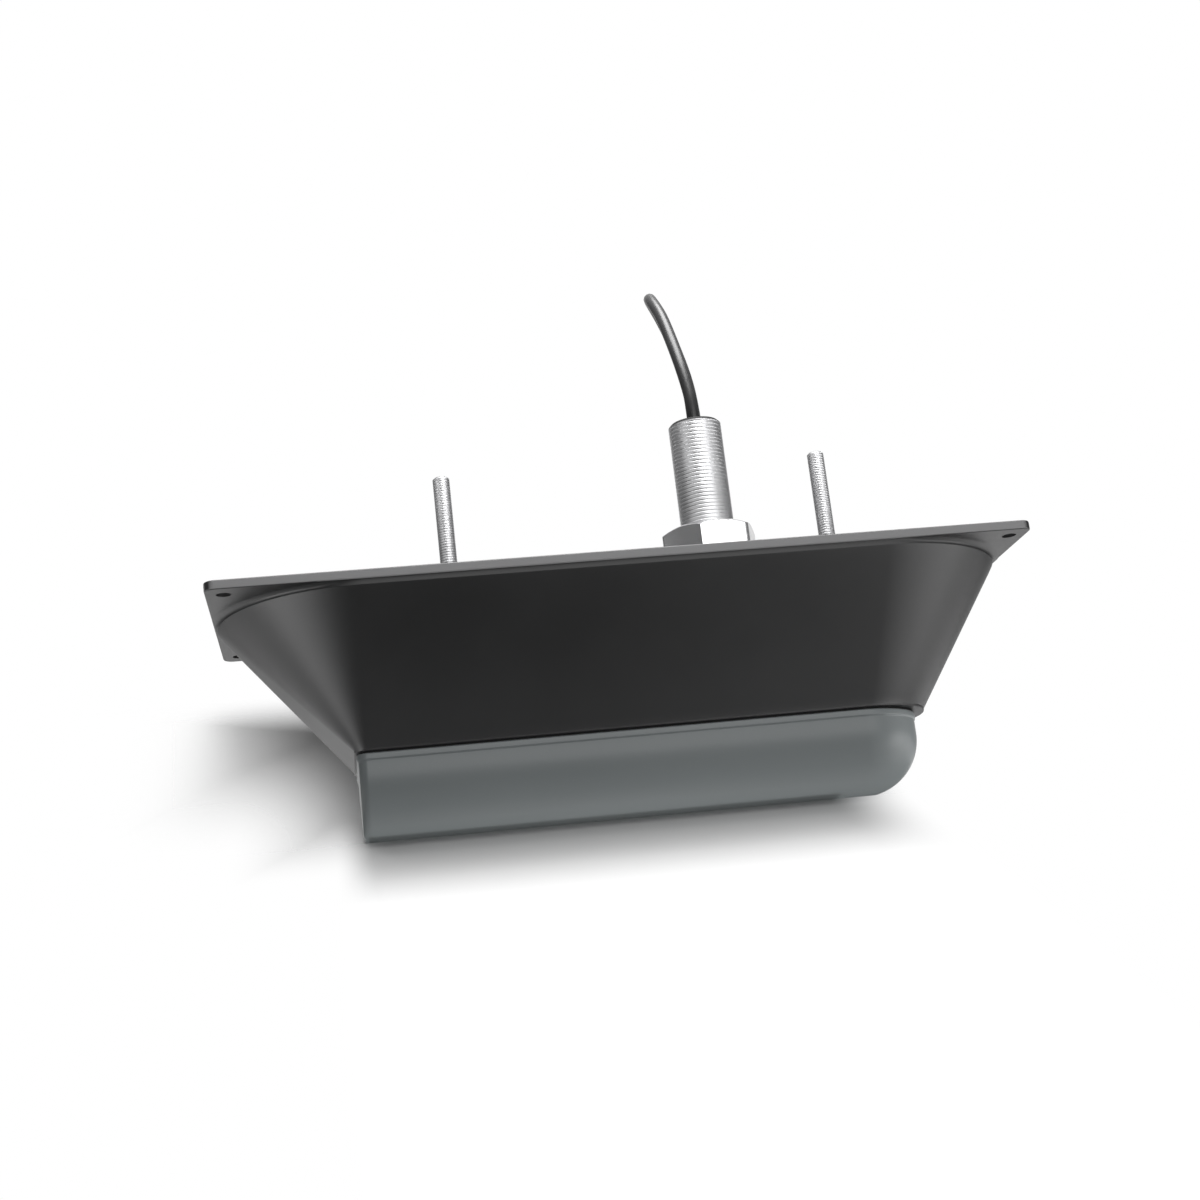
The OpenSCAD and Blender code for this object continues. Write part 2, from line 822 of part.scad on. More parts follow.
module board_standoffs() {
    color([0.80, 0.66, 0.36]) at_standoffs() difference() {
        union() {
            translate([0, 0, board_top]) cylinder(d = standoff_af / cos(30), h = standoff_h, $fn = 6);
            translate([0, 0, plate_z - overlap]) cylinder(r = standoff_pin_r, h = plate_t + overlap);
        }
        translate([0, 0, board_top - past]) cylinder(r = board_screw_r + slip, h = board_hole_l + past);
    }
}

module board_screws() {
    color([0.70, 0.71, 0.73]) at_standoffs() translate([0, 0, board_z])
        screw(board_screw_r, board_hole_l);
}

module tuning_coils() {
    color([0.62, 0.34, 0.16]) for (i = [0 : toroid_count - 1]) {
        translate([header_x + header_l + (i + 0.5) * toroid_pitch, 0, board_z - toroid_h]) difference() {
            cylinder(d = toroid_d, h = toroid_h);
            translate([0, 0, -past]) cylinder(d = toroid_d * 0.45, h = toroid_h + 2 * past);
        }
    }
}

module terminal_block() {
    color([0.20, 0.45, 0.30]) translate([block_x, -block_w / 2, board_z - block_h])
        cube([block_l, block_w, block_h]);
}

module wire_header() {
    color([0.85, 0.84, 0.80]) translate([header_x, -block_w / 2, board_z - block_h])
        cube([header_l, block_w, block_h]);
}

// Wires from the header down to the three rows of elements, and from the block down to the sensor
module element_wires() {
    header_mid = header_x + header_l / 2;
    block_mid = block_x + block_l / 2;
    color([0.70, 0.16, 0.14]) {
        for (s = [-1, 0, 1]) {
            tube([
                [header_mid, s * wire_gap, wire_foot_z],
                [header_mid, s * wire_gap, wire_foot_z - wire_straight],
                [header_mid - wire_lean / 2, s * (wire_gap + wire_foot_gap) / 2, (wire_foot_z + trough_z) / 2],
                [header_mid + (s - 1) * wire_lean, s * wire_foot_gap, trough_z + wire_straight],
                [header_mid + (s - 1) * wire_lean, s * wire_foot_gap, trough_z]
            ], element_wire_r, 8, 2, [0, 1, 0.2]);
        }
        tube([
            [bow_mid_x, 0, window_wall + sensor_h],
            [bow_mid_x, 0, carrier_top + 6],
            [bow_mid_x - 12, -8, carrier_top + 18],
            [block_x + block_l + 30, -20, carrier_top + 20],
            [block_mid, -10.5, wire_foot_z - 6],
            [block_mid, -10.5, wire_foot_z]
        ], sensor_wire_r, 8, 2, [0, 1, 0.1]);
    }
}

module cable_wires() {
    block_mid = block_x + block_l / 2;
    color([0.75, 0.70, 0.20]) for (s = [-1.5, -0.5, 0.5, 1.5]) {
        tube([
            [stem_x, s * 1.6, cable_end_z],
            [stem_x, s * 1.6, cable_end_z - 4],
            [stem_x - 10, s * 3, cable_end_z - 9],
            [block_mid, s * 5, wire_foot_z - 5],
            [block_mid, s * 5, wire_foot_z]
        ], cable_wire_r, 8, 2, [0, 1, 0.2]);
    }
}

// Cable

module cable_entry() {
    color([0.05, 0.05, 0.05]) translate([stem_x, 0, cable_end_z])
        cylinder(r = cable_r, h = stem_top - cable_end_z);
}

module cable_ferrule() {
    color([0.80, 0.66, 0.36]) translate([stem_x, 0, plate_z - stem_head_t - ferrule_l]) difference() {
        cylinder(r = stem_bore_d / 2 + ferrule_wall, h = ferrule_l);
        translate([0, 0, -past]) cylinder(r = cable_r + slip / 2, h = ferrule_l + 2 * past);
    }
}

module cable_bung() {
    color([0.04, 0.04, 0.04]) translate([stem_x, 0, stem_top - bung_l]) difference() {
        cylinder(d = bung_d, h = bung_l - bung_sink);
        translate([0, 0, -past]) cylinder(r = cable_r + slip / 2, h = bung_l + 2 * past);
    }
}

module cable_lead() {
    color([0.05, 0.05, 0.05]) tube(lead_route, cable_r, 10, 2, [1, 0, 0]);
}

// The outer form of the wound cable, drawn in where the tie pulls it together
module cable_coil() {
    color([0.05, 0.05, 0.05]) translate([coil_x, coil_y, 0]) difference() {
        rotate_extrude() translate([coil_in_r, 0]) square([coil_w, coil_h]);
        rotate([0, 0, tie_turn]) tie_band();
    }
}

// A flat band round the coil's section
module tie_band() {
    translate([coil_in_r, -tie_w / 2, 0]) difference() {
        cube([coil_w, tie_w, coil_h]);
        translate([tie_t, -past, tie_t])
            cube([coil_w - 2 * tie_t, tie_w + 2 * past, coil_h - 2 * tie_t]);
    }
}

module coil_tie() {
    color([0.08, 0.08, 0.09]) translate([coil_x, coil_y, 0]) rotate([0, 0, tie_turn]) intersection() {
        tie_band();
        translate([0, 0, -past]) difference() {
            cylinder(r = coil_out_r - slip, h = coil_h + 2 * past);
            translate([0, 0, -past]) cylinder(r = coil_in_r + slip, h = coil_h + 4 * past);
        }
    }
}

module cable_tail() {
    color([0.05, 0.05, 0.05]) tube(tail_route, cable_r, 10, 2, [0, 0, 1]);
}

// Connector, lying along X

module along_plug(from) {
    translate([from, tail_y, plug_z]) rotate([0, 90, 0]) children();
}

module connector_boot() {
    boot_wall = 1;
    color([0.05, 0.05, 0.05]) along_plug(boot_x)
        cylinder(r1 = cable_r + boot_wall, r2 = plug_d / 2 - boot_wall, h = boot_l);
}

module connector_body() {
    color([0.07, 0.07, 0.08]) along_plug(plug_x) difference() {
        union() {
            cylinder(d = plug_d, h = plug_l);
            translate([0, 0, plug_l - overlap]) cylinder(d = neck_d, h = collar_l);
        }
        translate([0, 0, plug_l + plug_floor]) cylinder(d = socket_d, h = collar_l);
    }
}

module connector_collar() {
    color([0.09, 0.09, 0.10]) along_plug(plug_x + plug_l) difference() {
        cylinder(d = collar_d, h = collar_l);
        translate([0, 0, -past]) cylinder(d = neck_d + 2 * slip, h = collar_l + 2 * past);
    }
}

// One pin in the middle and six round it
module connector_pins() {
    pin_circle_r = socket_d / 2 - pin_edge;
    color([0.83, 0.70, 0.38]) along_plug(plug_x + plug_l + plug_floor) for (k = [0 : 6]) {
        rotate([0, 0, 60 * k]) translate([k == 6 ? 0 : pin_circle_r, 0, 0])
            cylinder(r = pin_r, h = collar_l - plug_floor - pin_sink);
    }
}

fairing_housing();
acoustic_window();
window_gasket();
backing_plate();
plate_screws();
stem();
stem_nut();
stem_o_ring();
mounting_studs();
stud_o_rings();
element_carrier();
carrier_screws();
port_elements();
starboard_elements();
down_elements();
port_matching_strip();
starboard_matching_strip();
down_matching_strip();
port_absorber();
starboard_absorber();
down_absorber();
temperature_sensor();
circuit_board();
board_standoffs();
board_screws();
tuning_coils();
terminal_block();
wire_header();
element_wires();
cable_wires();
cable_entry();
cable_ferrule();
cable_bung();
cable_lead();
cable_coil();
coil_tie();
cable_tail();
connector_boot();
connector_body();
connector_collar();
connector_pins();
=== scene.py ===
# Sonar transducer for a boat's hull: finishes, threads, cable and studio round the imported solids.
# Metres, with +X towards the bow and +Z up.
import json
import math

import bmesh
import bpy
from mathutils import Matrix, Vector


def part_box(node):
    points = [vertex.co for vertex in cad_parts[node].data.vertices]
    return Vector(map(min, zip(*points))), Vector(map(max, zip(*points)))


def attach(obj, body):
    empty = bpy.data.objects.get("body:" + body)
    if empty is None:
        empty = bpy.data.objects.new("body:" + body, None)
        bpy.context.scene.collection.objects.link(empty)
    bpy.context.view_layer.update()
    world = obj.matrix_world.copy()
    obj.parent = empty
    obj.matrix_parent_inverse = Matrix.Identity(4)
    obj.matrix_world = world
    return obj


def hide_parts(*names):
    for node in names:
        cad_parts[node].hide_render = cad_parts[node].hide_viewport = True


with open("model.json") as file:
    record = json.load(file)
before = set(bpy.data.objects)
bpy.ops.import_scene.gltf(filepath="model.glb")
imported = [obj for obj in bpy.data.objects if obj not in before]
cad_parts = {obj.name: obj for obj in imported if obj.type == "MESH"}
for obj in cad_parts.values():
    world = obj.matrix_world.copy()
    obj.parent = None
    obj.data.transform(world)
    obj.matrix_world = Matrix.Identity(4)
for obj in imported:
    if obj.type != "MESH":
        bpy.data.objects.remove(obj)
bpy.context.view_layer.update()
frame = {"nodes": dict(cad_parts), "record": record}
scene = bpy.context.scene
nodes = frame["nodes"]
mm = 0.001
print("solids loaded:", len(nodes))


# camera

cameraSet = dict(
    place=(-0.13595, -0.85469, -0.11892),
    turn=(104.541, 6.430, -6.997),  # degrees
    lens=57.06,
    sensor=36,
)


def makeCamera(s):
    data = bpy.data.cameras.new("camera")
    data.lens = s["lens"]
    data.sensor_width = s["sensor"]
    data.clip_start = 0.01
    camera = bpy.data.objects.new("camera", data)
    camera.location = s["place"]
    camera.rotation_euler = [math.radians(a) for a in s["turn"]]
    scene.collection.objects.link(camera)
    scene.camera = camera


makeCamera(cameraSet)
print("camera set")


# shader tools


class Val:
    # a socket; sums and products of it add Math nodes
    def __init__(self, finish, socket):
        self.finish = finish
        self.socket = socket

    def math(self, operation, a, b):
        return self.finish.add("ShaderNodeMath", {"operation": operation}, {0: a, 1: b})

    def __add__(self, other):
        return self.math("ADD", self, other)

    def __radd__(self, other):
        return self.math("ADD", other, self)

    def __sub__(self, other):
        return self.math("SUBTRACT", self, other)

    def __rsub__(self, other):
        return self.math("SUBTRACT", other, self)

    def __mul__(self, other):
        return self.math("MULTIPLY", self, other)

    def __rmul__(self, other):
        return self.math("MULTIPLY", other, self)

    def __gt__(self, other):
        return self.math("GREATER_THAN", self, other)


class Finish:
    # a node tree with one way of adding nodes: type, settings, sockets
    def __init__(self, tree):
        self.tree = tree
        tree.nodes.clear()

    def add(self, kind, settings=None, sockets=None, out=0):
        node = self.tree.nodes.new(kind)
        for key, value in (settings or {}).items():
            setattr(node, key, value)
        for key, value in (sockets or {}).items():
            if isinstance(value, Val):
                self.tree.links.new(value.socket, node.inputs[key])
            else:
                node.inputs[key].default_value = value
        return Val(self, node.outputs[out]) if node.outputs else None

    def place(self):
        return self.add("ShaderNodeTexCoord", out="Object")

    def stretched(self, factors):
        return self.add("ShaderNodeMapping", None, {"Vector": self.place(), "Scale": factors})

    def noise(self, scale, detail=2.0, coords=None):
        sockets = {"Vector": coords or self.place(), "Scale": scale, "Detail": detail}
        return self.add("ShaderNodeTexNoise", None, sockets)

    def spread(self, value, low, high):
        # low to high becomes 0 to 1
        sockets = {0: value, 1: low, 2: high, 3: 0.0, 4: 1.0}
        return self.add("ShaderNodeMapRange", {"interpolation_type": "SMOOTHSTEP"}, sockets)

    def split(self, vector):
        first = self.add("ShaderNodeSeparateXYZ", None, {0: vector})
        return [Val(self, socket) for socket in first.socket.node.outputs]

    def larger(self, a, b):
        return self.add("ShaderNodeMath", {"operation": "MAXIMUM"}, {0: a, 1: b})

    def mix(self, factor, a, b):
        return self.add("ShaderNodeMix", {"data_type": "RGBA"}, {0: factor, 6: a, 7: b}, out=2)

    def bump(self, height, strength, distance):
        sockets = {"Strength": strength, "Distance": distance, "Height": height}
        return self.add("ShaderNodeBump", None, sockets)

    def towards(self, way, aim, low, high):
        # 1 where a direction points along aim
        sockets = {0: way, 1: aim}
        dot = self.add("ShaderNodeVectorMath", {"operation": "DOT_PRODUCT"}, sockets, out="Value")
        return self.spread(dot, low, high)

    def surface(self, sockets):
        shader = self.add("ShaderNodeBsdfPrincipled", None, sockets)
        self.add("ShaderNodeOutputMaterial", None, {"Surface": shader})


def newFinish(name):
    material = bpy.data.materials.new(name)
    material.use_nodes = True
    return material, Finish(material.node_tree)


def rgb(r, g, b):
    return (r, g, b, 1.0)


def grey(tone):
    return rgb(tone, tone, tone)


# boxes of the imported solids

housingLow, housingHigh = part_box("fairing_housing")
windowLow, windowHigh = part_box("acoustic_window")
stemLow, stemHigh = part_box("stem")
nutLow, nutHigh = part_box("stem_nut")
studLow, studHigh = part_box("mounting_studs")
topZ = housingHigh.z
stemX = (nutLow.x + nutHigh.x) / 2
studFoot = 8 * mm  # radius
studXs = (studLow.x + studFoot, studHigh.x - studFoot)


# finishes


def mouldedPlastic(name, dark, light, rough, grainSize=0.45 * mm, depth=0.05 * mm):
    # fine spark grain, with cloudy flow marks in colour and gloss
    material, f = newFinish(name)
    grain = f.noise(1 / grainSize, 3.0)
    cloud = f.noise(14.0, 4.0)
    f.surface({
        "Base Color": f.mix(f.spread(cloud, 0.3, 0.7), dark, light),
        "Roughness": rough + 0.10 * cloud + 0.06 * grain,
        "Normal": f.bump(grain, 0.35, depth),
    })
    return material


def fairingPlastic(name, halfX, halfY, edgeLow):
    # black spark-grained moulding, paler towards the lip, with a painted highlight: a pale base colour on
    # the flange's upright outer band for the light it catches
    material, f = newFinish(name)
    grain = f.noise(2200.0, 3.0)
    cloud = f.noise(14.0, 4.0)
    x, y, z = f.split(f.place())
    lean = f.split(f.add("ShaderNodeNewGeometry", out="Normal"))[2]
    upright = 1 - f.spread(lean * lean, 0.15, 0.6)
    ends = f.spread(x * x, (halfX - mm) ** 2, halfX ** 2)
    sides = f.spread(y * y, (halfY - mm) ** 2, halfY ** 2)
    # painted highlight: upright faces at the flange's outer ends and sides get a pale base colour,
    # standing in for light on that band
    edge = upright * f.larger(ends, sides) * f.spread(z, edgeLow - 0.2 * mm, edgeLow + 0.4 * mm)
    body = f.mix(f.spread(cloud, 0.3, 0.7), rgb(0.0045, 0.0045, 0.0048), rgb(0.007, 0.007, 0.0073))
    body = f.mix(f.spread(edgeLow - z, 0.02, 0.07) * 0.6, body, rgb(0.018, 0.018, 0.0185))
    f.surface({
        "Base Color": f.mix(edge, body, rgb(0.15, 0.15, 0.152)),
        "Roughness": 0.34 + 0.10 * cloud + 0.06 * grain + 0.1 * edge,
        "Normal": f.bump(grain, 0.35, 0.05 * mm),
    })
    return material


def castWindow(name):
    # satin cast resin: cloudy colour, faint ripple, a little fine dust of filler
    material, f = newFinish(name)
    cloud = f.noise(9.0, 3.0, f.stretched((0.35, 1.0, 1.0)))
    speck = f.noise(2600.0, 1.0)
    ripple = f.noise(260.0, 2.0)
    base = f.mix(f.spread(cloud, 0.3, 0.7), rgb(0.160, 0.177, 0.180), rgb(0.186, 0.204, 0.207))
    f.surface({
        "Base Color": f.mix(f.spread(speck, 0.62, 0.8) * 0.25, base, rgb(0.26, 0.28, 0.28)),
        "Roughness": 0.30 + 0.14 * cloud,
        "Normal": f.bump(ripple + speck * 0.2, 0.25, 0.06 * mm),
    })
    return material


def turnedSteel(name, colour, rough, lines, darkFrom=1.0, paintedEndShade=0.02):
    # lathe lines round the axis and cloudy gloss; above darkFrom, painted shade: a dark, dull band for
    # the shade and dark reflection on the end's chamfer
    material, f = newFinish(name)
    turning = f.noise(lines, 2.0, f.stretched((0.05, 0.05, 1.0)))
    cloud = f.noise(70.0, 3.0)
    bright = f.mix(f.spread(cloud, 0.25, 0.75), colour, rgb(*[0.88 * c for c in colour[:3]]))
    # painted shade: the end above darkFrom is darkened to stand in for its shaded chamfer
    end = f.spread(f.split(f.place())[2], darkFrom, darkFrom + 0.2 * mm)
    f.surface({
        "Base Color": f.mix(end, bright, grey(paintedEndShade)),
        "Metallic": 1.0,
        "Roughness": rough + 0.12 * turning + 0.08 * cloud + 0.25 * end,
        "Normal": f.bump(turning, 0.2, 0.02 * mm),
    })
    return material


def softRubber(name, dark, light, rough):
    material, f = newFinish(name)
    bloom = f.noise(45.0, 4.0)
    skin = f.noise(1500.0, 2.0)
    f.surface({
        "Base Color": f.mix(f.spread(bloom, 0.35, 0.75), dark, light),
        "Roughness": rough + 0.14 * bloom,
        "Normal": f.bump(skin, 0.2, 0.03 * mm),
    })
    return material


def wovenStrap(name):
    material, f = newFinish(name)
    weave = f.add("ShaderNodeTexWave", {"wave_type": "BANDS", "bands_direction": "DIAGONAL"},
                  {"Vector": f.place(), "Scale": 420.0, "Distortion": 1.5})
    fuzz = f.noise(3000.0, 2.0)
    f.surface({
        "Base Color": f.mix(
            weave * 0.7 + fuzz * 0.3, rgb(0.010, 0.010, 0.011), rgb(0.045, 0.045, 0.048)
        ),
        "Roughness": 0.78 + 0.15 * fuzz,
        "Normal": f.bump(weave + fuzz, 0.5, 0.15 * mm),
    })
    return material


def speckled(name, dark, light, size, rough, metallic=0.0):
    # grainy stock: fired ceramic, pressed cork, filled resin, board laminate, plated pins
    material, f = newFinish(name)
    grain = f.noise(1 / size, 4.0)
    f.surface({
        "Base Color": f.mix(f.spread(grain, 0.3, 0.7), dark, light),
        "Metallic": metallic,
        "Roughness": rough + 0.15 * grain,
        "Normal": f.bump(grain, 0.3, 0.2 * size),
    })
    return material


flangeThick = 4.2 * mm
threadSteel = (rgb(0.62, 0.62, 0.63), 0.27, 2400.0)
# painted shade: the studs' tips, like the stem's top below, get the dark end band
studSteel = turnedSteel("studStainless", *threadSteel, studHigh.z - 0.5 * mm, 0.12)
finishes = {
    "fairing_plastic": fairingPlastic("fairingPlastic", housingHigh.x, housingHigh.y, topZ - flangeThick),
    "window_plastic": castWindow("windowResin"),
    "stainless": turnedSteel("turnedStainless", *threadSteel, stemHigh.z - 1.5 * mm),
    "nut_steel": turnedSteel("brightNut", rgb(0.78, 0.78, 0.79), 0.14, 1500.0),
    "seal_rubber": softRubber("sealRubber", grey(0.012), grey(0.022), 0.55),
    "carrier_plastic": mouldedPlastic(
        "carrierPlastic", rgb(0.05, 0.05, 0.055), rgb(0.07, 0.07, 0.075), 0.5),
    "ceramic": speckled(
        "firedCeramic", rgb(0.62, 0.58, 0.46), rgb(0.76, 0.72, 0.60), 0.4 * mm, 0.6),
    "matching_resin": speckled(
        "matchingResin", rgb(0.23, 0.28, 0.18), rgb(0.32, 0.37, 0.25), 0.3 * mm, 0.5),
    "absorber_cork": speckled(
        "pressedCork", rgb(0.14, 0.07, 0.03), rgb(0.38, 0.22, 0.10), 1.4 * mm, 0.8),
    "brass": turnedSteel("turnedBrass", rgb(0.72, 0.50, 0.20), 0.24, 2000.0),
    "board_laminate": speckled(
        "boardLaminate", rgb(0.012, 0.09, 0.035), rgb(0.03, 0.15, 0.06), 0.8 * mm, 0.35),
    "copper_winding": turnedSteel("copperWinding", rgb(0.50, 0.17, 0.06), 0.3, 900.0),
    "terminal_plastic": mouldedPlastic(
        "terminalPlastic", rgb(0.02, 0.13, 0.05), rgb(0.04, 0.18, 0.08), 0.3),
    "header_plastic": mouldedPlastic(
        "headerPlastic", rgb(0.62, 0.60, 0.54), rgb(0.74, 0.72, 0.66), 0.3),
    "red_wire": softRubber("redWire", rgb(0.38, 0.02, 0.015), rgb(0.52, 0.04, 0.03), 0.4),
    "yellow_wire": softRubber("yellowWire", rgb(0.48, 0.36, 0.02), rgb(0.60, 0.46, 0.04), 0.4),
    "cable_jacket": softRubber(
        "cableJacket", rgb(0.011, 0.011, 0.012), rgb(0.020, 0.020, 0.021), 0.30),
    "tie_fabric": wovenStrap("hookAndLoop"),
    "plug_plastic": mouldedPlastic(
        "plugPlastic", rgb(0.018, 0.018, 0.019), rgb(0.028, 0.028, 0.029), 0.38),
    "pin_gold": speckled(
        "platedPins", rgb(0.76, 0.55, 0.20), rgb(0.84, 0.64, 0.28), 0.2 * mm, 0.18, 1.0),
}
print("finishes made:", len(finishes))

for part in frame["record"]["subparts"]:
    solid = nodes[part["node"]]
    solid.data.materials.clear()
    solid.data.materials.append(finishes[part["material_slot"]])


# mesh tools


def arc(cx, cy, r, start, end, steps):
    angles = [math.radians(start + (end - start) * k / steps) for k in range(steps + 1)]
    return [(cx + r * math.cos(a), cy + r * math.sin(a)) for a in angles]


def between(a, b, steps):
    # points strictly between two ends
    wide = b[0] - a[0]
    deep = b[1] - a[1]
    return [(a[0] + wide * k / steps, a[1] + deep * k / steps) for k in range(1, steps)]


def atHeight(outline, z):
    return [Vector((x, y, z)) for x, y in outline]


def circleRing(x, y, r, z, columns):
    return atHeight(arc(x, y, r, 0, 360 - 360 / columns, columns - 1), z)


keelSteps = dict(bow=64, side=24, corner=28, stern=8)


def keelOutline(stern, bowMid, half, corner):
    # half-round bow, straight sides, rounded corners and a flat stern
    n = keelSteps
    out = arc(bowMid, 0, half, -90, 90, n["bow"])
    out += between((bowMid, half), (stern + corner, half), n["side"])
    out += arc(stern + corner, half - corner, corner, 90, 180, n["corner"])
    out += between((stern, half - corner), (stern, corner - half), n["stern"])
    out += arc(stern + corner, corner - half, corner, 180, 270, n["corner"])
    out += between((stern + corner, -half), (bowMid, -half), n["side"])
    return out


def platOutline(halfX, halfY, corner, steps):
    # rounded rectangle
    x = halfX - corner
    y = halfY - corner
    out = []
    for k, (sx, sy) in enumerate([(1, 1), (-1, 1), (-1, -1), (1, -1)]):
        out += arc(sx * x, sy * y, corner, 90 * k, 90 * k + 90, steps)
    return out


def lerpRing(a, b, t):
    return [p.lerp(q, t) for p, q in zip(a, b)]


def addMesh(name, bm):
    mesh = bpy.data.meshes.new(name)
    bm.to_mesh(mesh)
    bm.free()
    piece = bpy.data.objects.new(name, mesh)
    scene.collection.objects.link(piece)
    return piece


def loft(name, rings, loop=False):
    # quads between rings of equal count; ends capped unless the last ring joins the first
    bm = bmesh.new()
    rows = [[bm.verts.new(p) for p in ring] for ring in rings]
    count = len(rings[0])
    pairs = list(zip(rows, rows[1:]))
    if loop:
        pairs.append((rows[-1], rows[0]))
    else:
        bm.faces.new(rows[0][::-1])
        bm.faces.new(rows[-1])
    for low, high in pairs:
        for i in range(count):
            j = (i + 1) % count
            bm.faces.new((low[i], low[j], high[j], high[i]))
    bmesh.ops.remove_doubles(bm, verts=bm.verts, dist=1e-7)
    bmesh.ops.recalc_face_normals(bm, faces=bm.faces)
    return addMesh(name, bm)


def joined(name, pieces):
    bm = bmesh.new()
    for piece in pieces:
        bm.from_mesh(piece.data)
        bpy.data.objects.remove(piece)
    return addMesh(name, bm)


def settle(piece):
    # the modifiers' result becomes the piece's own mesh
    mesh = bpy.data.meshes.new_from_object(piece.evaluated_get(bpy.context.evaluated_depsgraph_get()))
    piece.modifiers.clear()
    piece.data = mesh


def cut(piece, other, operation):
    step = piece.modifiers.new("cut", "BOOLEAN")
    step.operation = operation
    step.solver = "EXACT"
    step.object = other
    settle(piece)
    bpy.data.objects.remove(other)


def smooth(piece, angle=32):
    piece.data.polygons.foreach_set("use_smooth", [True] * len(piece.data.polygons))
    piece.data.set_sharp_from_angle(angle=math.radians(angle))
    step = piece.modifiers.new("faceNormals", "WEIGHTED_NORMAL")
    step.keep_sharp = True


def dress(piece, slot, *stoodFor):
    piece.data.materials.clear()
    piece.data.materials.append(finishes[slot])
    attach(piece, "root")
    if stoodFor:
        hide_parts(*stoodFor)
    return piece


# cable: out of the stem, over behind the object and round a coil to its plug

cable = dict(
    radius=3.2 * mm,
    length=6.0,
    lead=[
        (50, 0, 187.7), (50, 0, 195.7), (50, 2, 205), (49, 8, 221), (48, 18, 239), (47, 31, 258),
        (46, 47, 274), (50, 66, 281), (58, 84, 278), (66, 97, 267), (72, 104, 249), (74, 106, 228),
        (74, 106, 200), (74, 106, 170), (74, 106, 140), (74, 106, 110), (74, 106, 80), (74, 107, 58),
        (74, 112, 43), (74, 122, 33), (74, 136, 28.8),
    ],
    columns=5,
    layers=4,
    perTurn=20,
    jogAt=120,  # degrees from the landing, where turns step to the next place
    jogHalf=26,
    landing=80,
    leaveAt=270,
    tailRise=[(3, 0.0), (10, 0.14), (17, 0.5), (24, 0.86), (31, 1.0), (34, 1.0)],
)


def ease(t):
    t = min(max(t, 0.0), 1.0)
    return t * t * (3 - 2 * t)


def windingPlaces(s):
    # column and layer of each turn: in and out along each layer, from the top down
    places = []
    for layer in reversed(range(s["layers"])):
        columns = list(range(s["columns"]))
        inward = (s["layers"] - 1 - layer) % 2 == 0
        for column in (reversed(columns) if inward else columns):
            places.append((column, layer))
    return places


def coilRoute(s, middle, innerRadius):
    d = 2 * s["radius"]
    places = windingPlaces(s)
    last = 360 * (len(places) - 2) + s["leaveAt"]
    step = 360 / s["perTurn"]
    route = []
    for k in range(1, round(last / step) + 1):
        turn = k * step
        passed = (turn - s["jogAt"] + s["jogHalf"]) / 360
        index = min(max(math.floor(passed), -1), len(places) - 2)
        share = ease((turn - s["jogAt"] + s["jogHalf"] - 360 * index) / (2 * s["jogHalf"]))
        old = places[max(index, 0)]
        new = places[index + 1]
        column = old[0] + (new[0] - old[0]) * share
        layer = old[1] + (new[1] - old[1]) * share
        layer += 1 - ease(turn / s["landing"])  # down from the top of the coil
        r = innerRadius + s["radius"] + d * column
        a = math.radians(turn)
        route.append(middle + Vector((r * math.cos(a), r * math.sin(a), s["radius"] + d * layer)))
    return route


def makeCable(s):
    coilLow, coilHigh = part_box("cable_coil")
    plugLow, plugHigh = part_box("connector_collar")
    middle = Vector(((coilLow.x + coilHigh.x) / 2, (coilLow.y + coilHigh.y) / 2, 0))
    innerRadius = (coilHigh.x - coilLow.x) / 2 - 2 * s["radius"] * s["columns"]
    tailStart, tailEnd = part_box("cable_tail")
    tailY = (tailStart.y + tailEnd.y) / 2
    rise = (plugLow.z + plugHigh.z) / 2 - s["radius"]
    route = [Vector(p) * mm for p in s["lead"]]
    route += coilRoute(s, middle, innerRadius)
    route += [Vector((tailStart.x + x * mm, tailY, s["radius"] + rise * t)) for x, t in s["tailRise"]]
    data = bpy.data.curves.new("cable", "CURVE")
    data.dimensions = "3D"
    data.bevel_depth = s["radius"]
    data.bevel_resolution = 4
    data.resolution_u = 5
    data.use_fill_caps = True
    spline = data.splines.new("BEZIER")
    spline.bezier_points.add(len(route) - 1)
    for i, point in enumerate(spline.bezier_points):
        before = route[max(i - 1, 0)]
        after = route[min(i + 1, len(route) - 1)]
        lean = (after - before) / 6
        point.handle_left_type = point.handle_right_type = "FREE"
        point.co = route[i]
        point.handle_left = route[i] - lean
        point.handle_right = route[i] + lean
    piece = bpy.data.objects.new("cable", data)
    scene.collection.objects.link(piece)
    return dress(piece, "cable_jacket", "cable_lead", "cable_coil", "cable_tail")


cablePiece = makeCable(cable)
print("cable laid")


# strap round the coil

tie = dict(turn=120, width=12 * mm, thick=1.2 * mm, proud=0.35 * mm, corner=4 * mm, edge=0.3 * mm)


def makeTie(s):
    coilLow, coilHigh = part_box("cable_coil")
    middle = (coilLow + coilHigh) / 2
    outer = (coilHigh.x - coilLow.x) / 2
    width = 2 * cable["radius"] * cable["columns"]
    halfX = width / 2 + s["proud"]
    halfZ = (coilHigh.z - coilLow.z) / 2 + s["proud"]
    turn = math.radians(s["turn"])
    out = Vector((math.cos(turn), math.sin(turn), 0))
    along = Vector((-math.sin(turn), math.cos(turn), 0))
    centre = Vector((middle.x, middle.y, middle.z + s["proud"])) + out * (outer - width / 2)
    rings = []
    edge = s["edge"]
    for inset, side in [(0, -1), (0, 1), (s["thick"], 1), (s["thick"], -1)]:
        outline = platOutline(halfX - inset, halfZ - inset, s["corner"] - inset, 8)
        for nudge in (edge, 0) if side < 0 else (0, edge):
            shift = along * side * (s["width"] / 2 - (nudge if inset == 0 else edge - nudge))
            rings.append([centre + shift + out * x + Vector((0, 0, y)) for x, y in outline])
    piece = loft("coilTie", rings, loop=True)
    smooth(piece, 50)
    return dress(piece, "tie_fabric", "coil_tie")


tiePiece = makeTie(tie)


# plug

